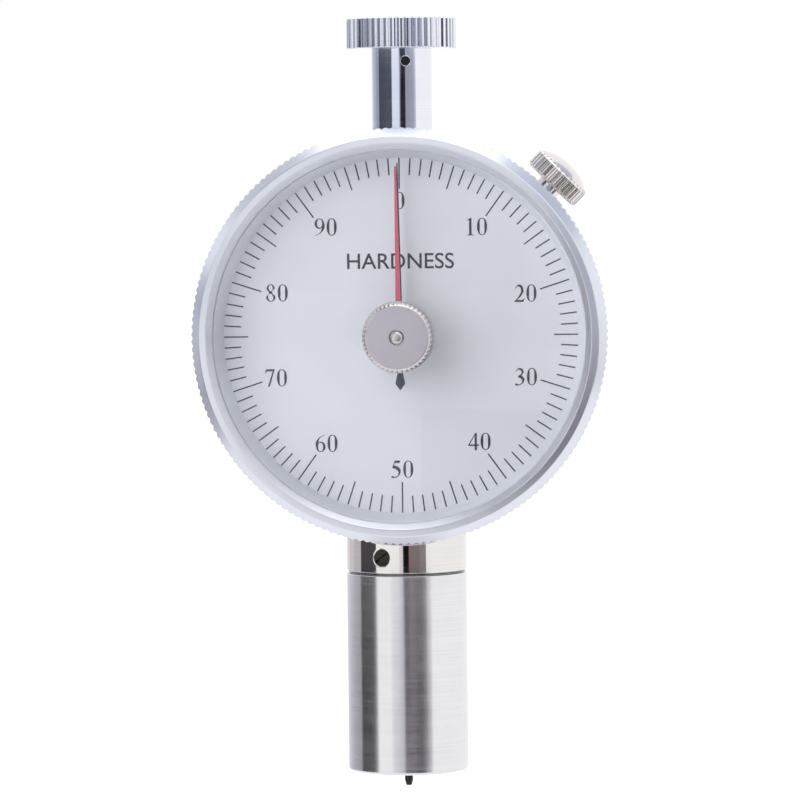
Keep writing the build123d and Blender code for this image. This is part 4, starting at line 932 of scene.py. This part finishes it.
studio = bpy.data.worlds.new("studio")
scene.world = studio
studio.use_nodes = True
studio.node_tree.nodes.clear()
sky_strength = add(studio.node_tree, "ShaderNodeMapRange", {"To Min": SKY_LEVEL, "To Max": 1.0},
                   {"Value": glow_ray(studio.node_tree)})
sky = add(studio.node_tree, "ShaderNodeBackground", {"Color": (1, 1, 1, 1)},
          {"Strength": sky_strength.outputs[0]})
add(studio.node_tree, "ShaderNodeOutputWorld", links={"Surface": sky.outputs[0]})


def soft_lamp(name, azimuth, elevation, distance, width, power):
    """A square softbox that faces the dial's centre. Metal doesn't mirror it."""
    light = bpy.data.lights.new(name, "AREA")
    light.size = width
    light.energy = power
    lamp = bpy.data.objects.new(name, light)
    lamp.visible_glossy = False
    scene.collection.objects.link(lamp)
    away = direction(azimuth, elevation)
    lamp.matrix_world = (Matrix.Translation(away * distance + Vector((0, 0, DIAL_HEIGHT * MM)))
                         @ away.to_track_quat("Z", "Y").to_matrix().to_4x4())


soft_lamp("key_softbox", azimuth=-46, elevation=20, distance=0.2, width=0.24, power=0.39)
soft_lamp("side_softbox", azimuth=82, elevation=-8, distance=1.0, width=0.48, power=7.5)


# ---------------------------------------------------------------- cards that the metal mirrors

CARD_SIDES = 720         # of the round that a curved card is cut from
CARD_OVERLAP = 0.26      # degrees, so that neighbouring cards leave no gap


def stage_card(card, code, strength=1.0):
    """Paint a card or panel. Only what mirrors it sees it: it draws the bands on bright metal."""
    material, tree, output = start_material(card.name + "_face")
    face = add(tree, "ShaderNodeEmission", {"Color": colour(code), "Strength": strength})
    finish_with(tree, output, face)
    card.data.materials.append(material)
    card.visible_camera = False
    card.visible_diffuse = False
    card.visible_transmission = False
    card.visible_shadow = False


def curved_card(name, first, last, radius, low, high, code):
    """A card bent round the object, from low to high, between two azimuths counted from the camera."""
    deselect()
    bpy.ops.mesh.primitive_cylinder_add(vertices=CARD_SIDES, radius=radius, depth=high - low,
                                        end_fill_type="NOTHING", location=(0, 0, (high + low) / 2))
    card = bpy.context.object
    card.name = name
    apply_place()
    facing = direction(CAMERA_AZIMUTH + (first + last) / 2, 0)
    nearness = cos(radians((last - first) / 2 + CARD_OVERLAP))
    pick(card, lambda p: Vector((p.x, p.y, 0)).normalized().dot(facing) < nearness)
    bpy.ops.mesh.delete(type="VERT")
    bpy.ops.object.mode_set(mode="OBJECT")
    stage_card(card, code)


def flat_panel(name, azimuth, elevation, distance, width, height, code, strength=1.0, centre=DIAL_CENTRE):
    """A flat panel that faces a place on the object."""
    deselect()
    away = direction(CAMERA_AZIMUTH + azimuth, elevation)
    bpy.ops.mesh.primitive_plane_add(size=1, location=away * distance + Vector(centre) * MM,
                                     rotation=away.to_track_quat("Z", "Y").to_euler())
    panel = bpy.context.object
    panel.name = name
    panel.scale = (width, height, 1)
    apply_place()
    stage_card(panel, code, strength)


def graded_card(name, first, last, radius, low, high, first_tone, last_tone, steps):
    """A run of narrow cards whose tone goes from one grey to another."""
    start, end = (Vector([int(code[i:i + 2], 16) for i in (1, 3, 5)]) for code in (first_tone, last_tone))
    width = (last - first) / steps
    for step in range(steps):
        tone = start.lerp(end, (step + 0.5) / steps)
        curved_card(f"{name}_{step}", first + width * step, first + width * (step + 1), radius, low, high,
                    "#%02X%02X%02X" % tuple(round(c) for c in tone))


# Each group names its radius and its lower and upper edge. A card's two numbers are the azimuths that it
# stands between, and a graded one goes from its first tone to its second in so many steps.
NEAR = 0.3
DIAL_FAR = 1.1
# Level with the collar: grey, black and rose, which its polish shows sharply
COLLAR = (NEAR, 0.0037, 0.04)
graded_card("collar_left_grey", -165, -98, *COLLAR, "#F0F0F2", "#BAB8BC", 3)
curved_card("collar_left_flag", -98, -61, *COLLAR, "#4B494C")
curved_card("collar_lens_flag", -7, 4, *COLLAR, "#121214")
curved_card("collar_rose", 4, 12, *COLLAR, "#8A7576")
graded_card("collar_right_grey", 12, 37, *COLLAR, "#7A7373", "#948D8D", 2)
# Below those, for the foot: softer from side to side
FOOT = (NEAR, -0.085, 0.0037)
graded_card("foot_left_grey", -165, -99, *FOOT, "#ECEDF2", "#96949A", 6)
curved_card("foot_left_flag", -99, -69, *FOOT, "#0F0E12")
graded_card("foot_left_edge", -69, -59, *FOOT, "#302E34", "#B0AEB4", 3)
graded_card("foot_soft_card", -30, -6, *FOOT, "#E2E3EA", "#B6B6BE", 4)
curved_card("foot_lens_flag", -6, 17, *FOOT, "#444047")
curved_card("foot_lens_core", 17, 28, *FOOT, "#19181C")
graded_card("foot_right_edge", 28, 46, *FOOT, "#3C3A40", "#D2D0D4", 5)
# Above, for the stem
STEM = (NEAR, 0.088, 0.1155)
graded_card("stem_left_grey", -150, -97, *STEM, "#D8DEEE", "#9094A2", 3)
graded_card("stem_left_flag", -97, -38, *STEM, "#494C58", "#50545F", 2)
curved_card("stem_blue_card", -38, -10, *STEM, "#E4E8F6")
curved_card("stem_soft_edge", -10, -6, *STEM, "#9698A6")
curved_card("stem_lens_flag", -6, 13.5, *STEM, "#24222A")
graded_card("stem_right_grey", 13.5, 47, *STEM, "#9A98A6", "#A6A9B8", 3)
curved_card("stem_right_edge", 47, 54, *STEM, "#BDBFCC")
# Above those, for the cap: paler
CAP = (NEAR, 0.1155, 0.14)
graded_card("cap_left_grey", -150, -97, *CAP, "#D8DBE6", "#A8ABB8", 3)
graded_card("cap_left_flag", -97, -38, *CAP, "#757987", "#8A8E9C", 2)
curved_card("cap_lens_flag", -9, 13.5, *CAP, "#4C4E5A")
graded_card("cap_right_grey", 13.5, 47, *CAP, "#A6A8B4", "#C2C4D0", 2)
# Further out, for what faces the reader: the drag hand's knob, the bezel's land and its edges
curved_card("knob_face_card", -14, 10, DIAL_FAR, -0.1, 0.2, "#E2E0E9")
curved_card("land_upper_card", 11, 34, DIAL_FAR, -0.02, 0.4, "#C3C7D5")
curved_card("land_lower_card", 11, 34, DIAL_FAR, -0.42, -0.02, "#B0B8CF")
curved_card("chamfer_left_card", -125, -98, DIAL_FAR, -0.1, 0.14, "#B6BAC8")
curved_card("inner_edge_card", -97, -72, DIAL_FAR, -0.08, 0.1, "#C6C9D4")
# Panels, each with its azimuth, elevation, distance, width and height: a bright ceiling, two dull ones
# below it on either side, and two dark flags close to the clamp knob
CLAMP_PLACE = (26.0, -1.5, 91.0)
flat_panel("ceiling_softbox", 0, 90, 1.0, 1.0, 1.2, "#FFFFFF", strength=1.9)
flat_panel("upper_left_panel", -100, 45, 1.0, 0.9, 0.5, "#BCC0CA")
flat_panel("upper_right_panel", 110, 42, 1.0, 0.6, 0.5, "#BEC4D2")
flat_panel("clamp_upper_flag", -48, 35, 0.15, 0.07, 0.07, "#4C4849", centre=CLAMP_PLACE)
flat_panel("clamp_lower_flag", 59, -41, 0.05, 0.024, 0.024, "#4C4849", centre=CLAMP_PLACE)

scene.view_settings.view_transform = "Standard"
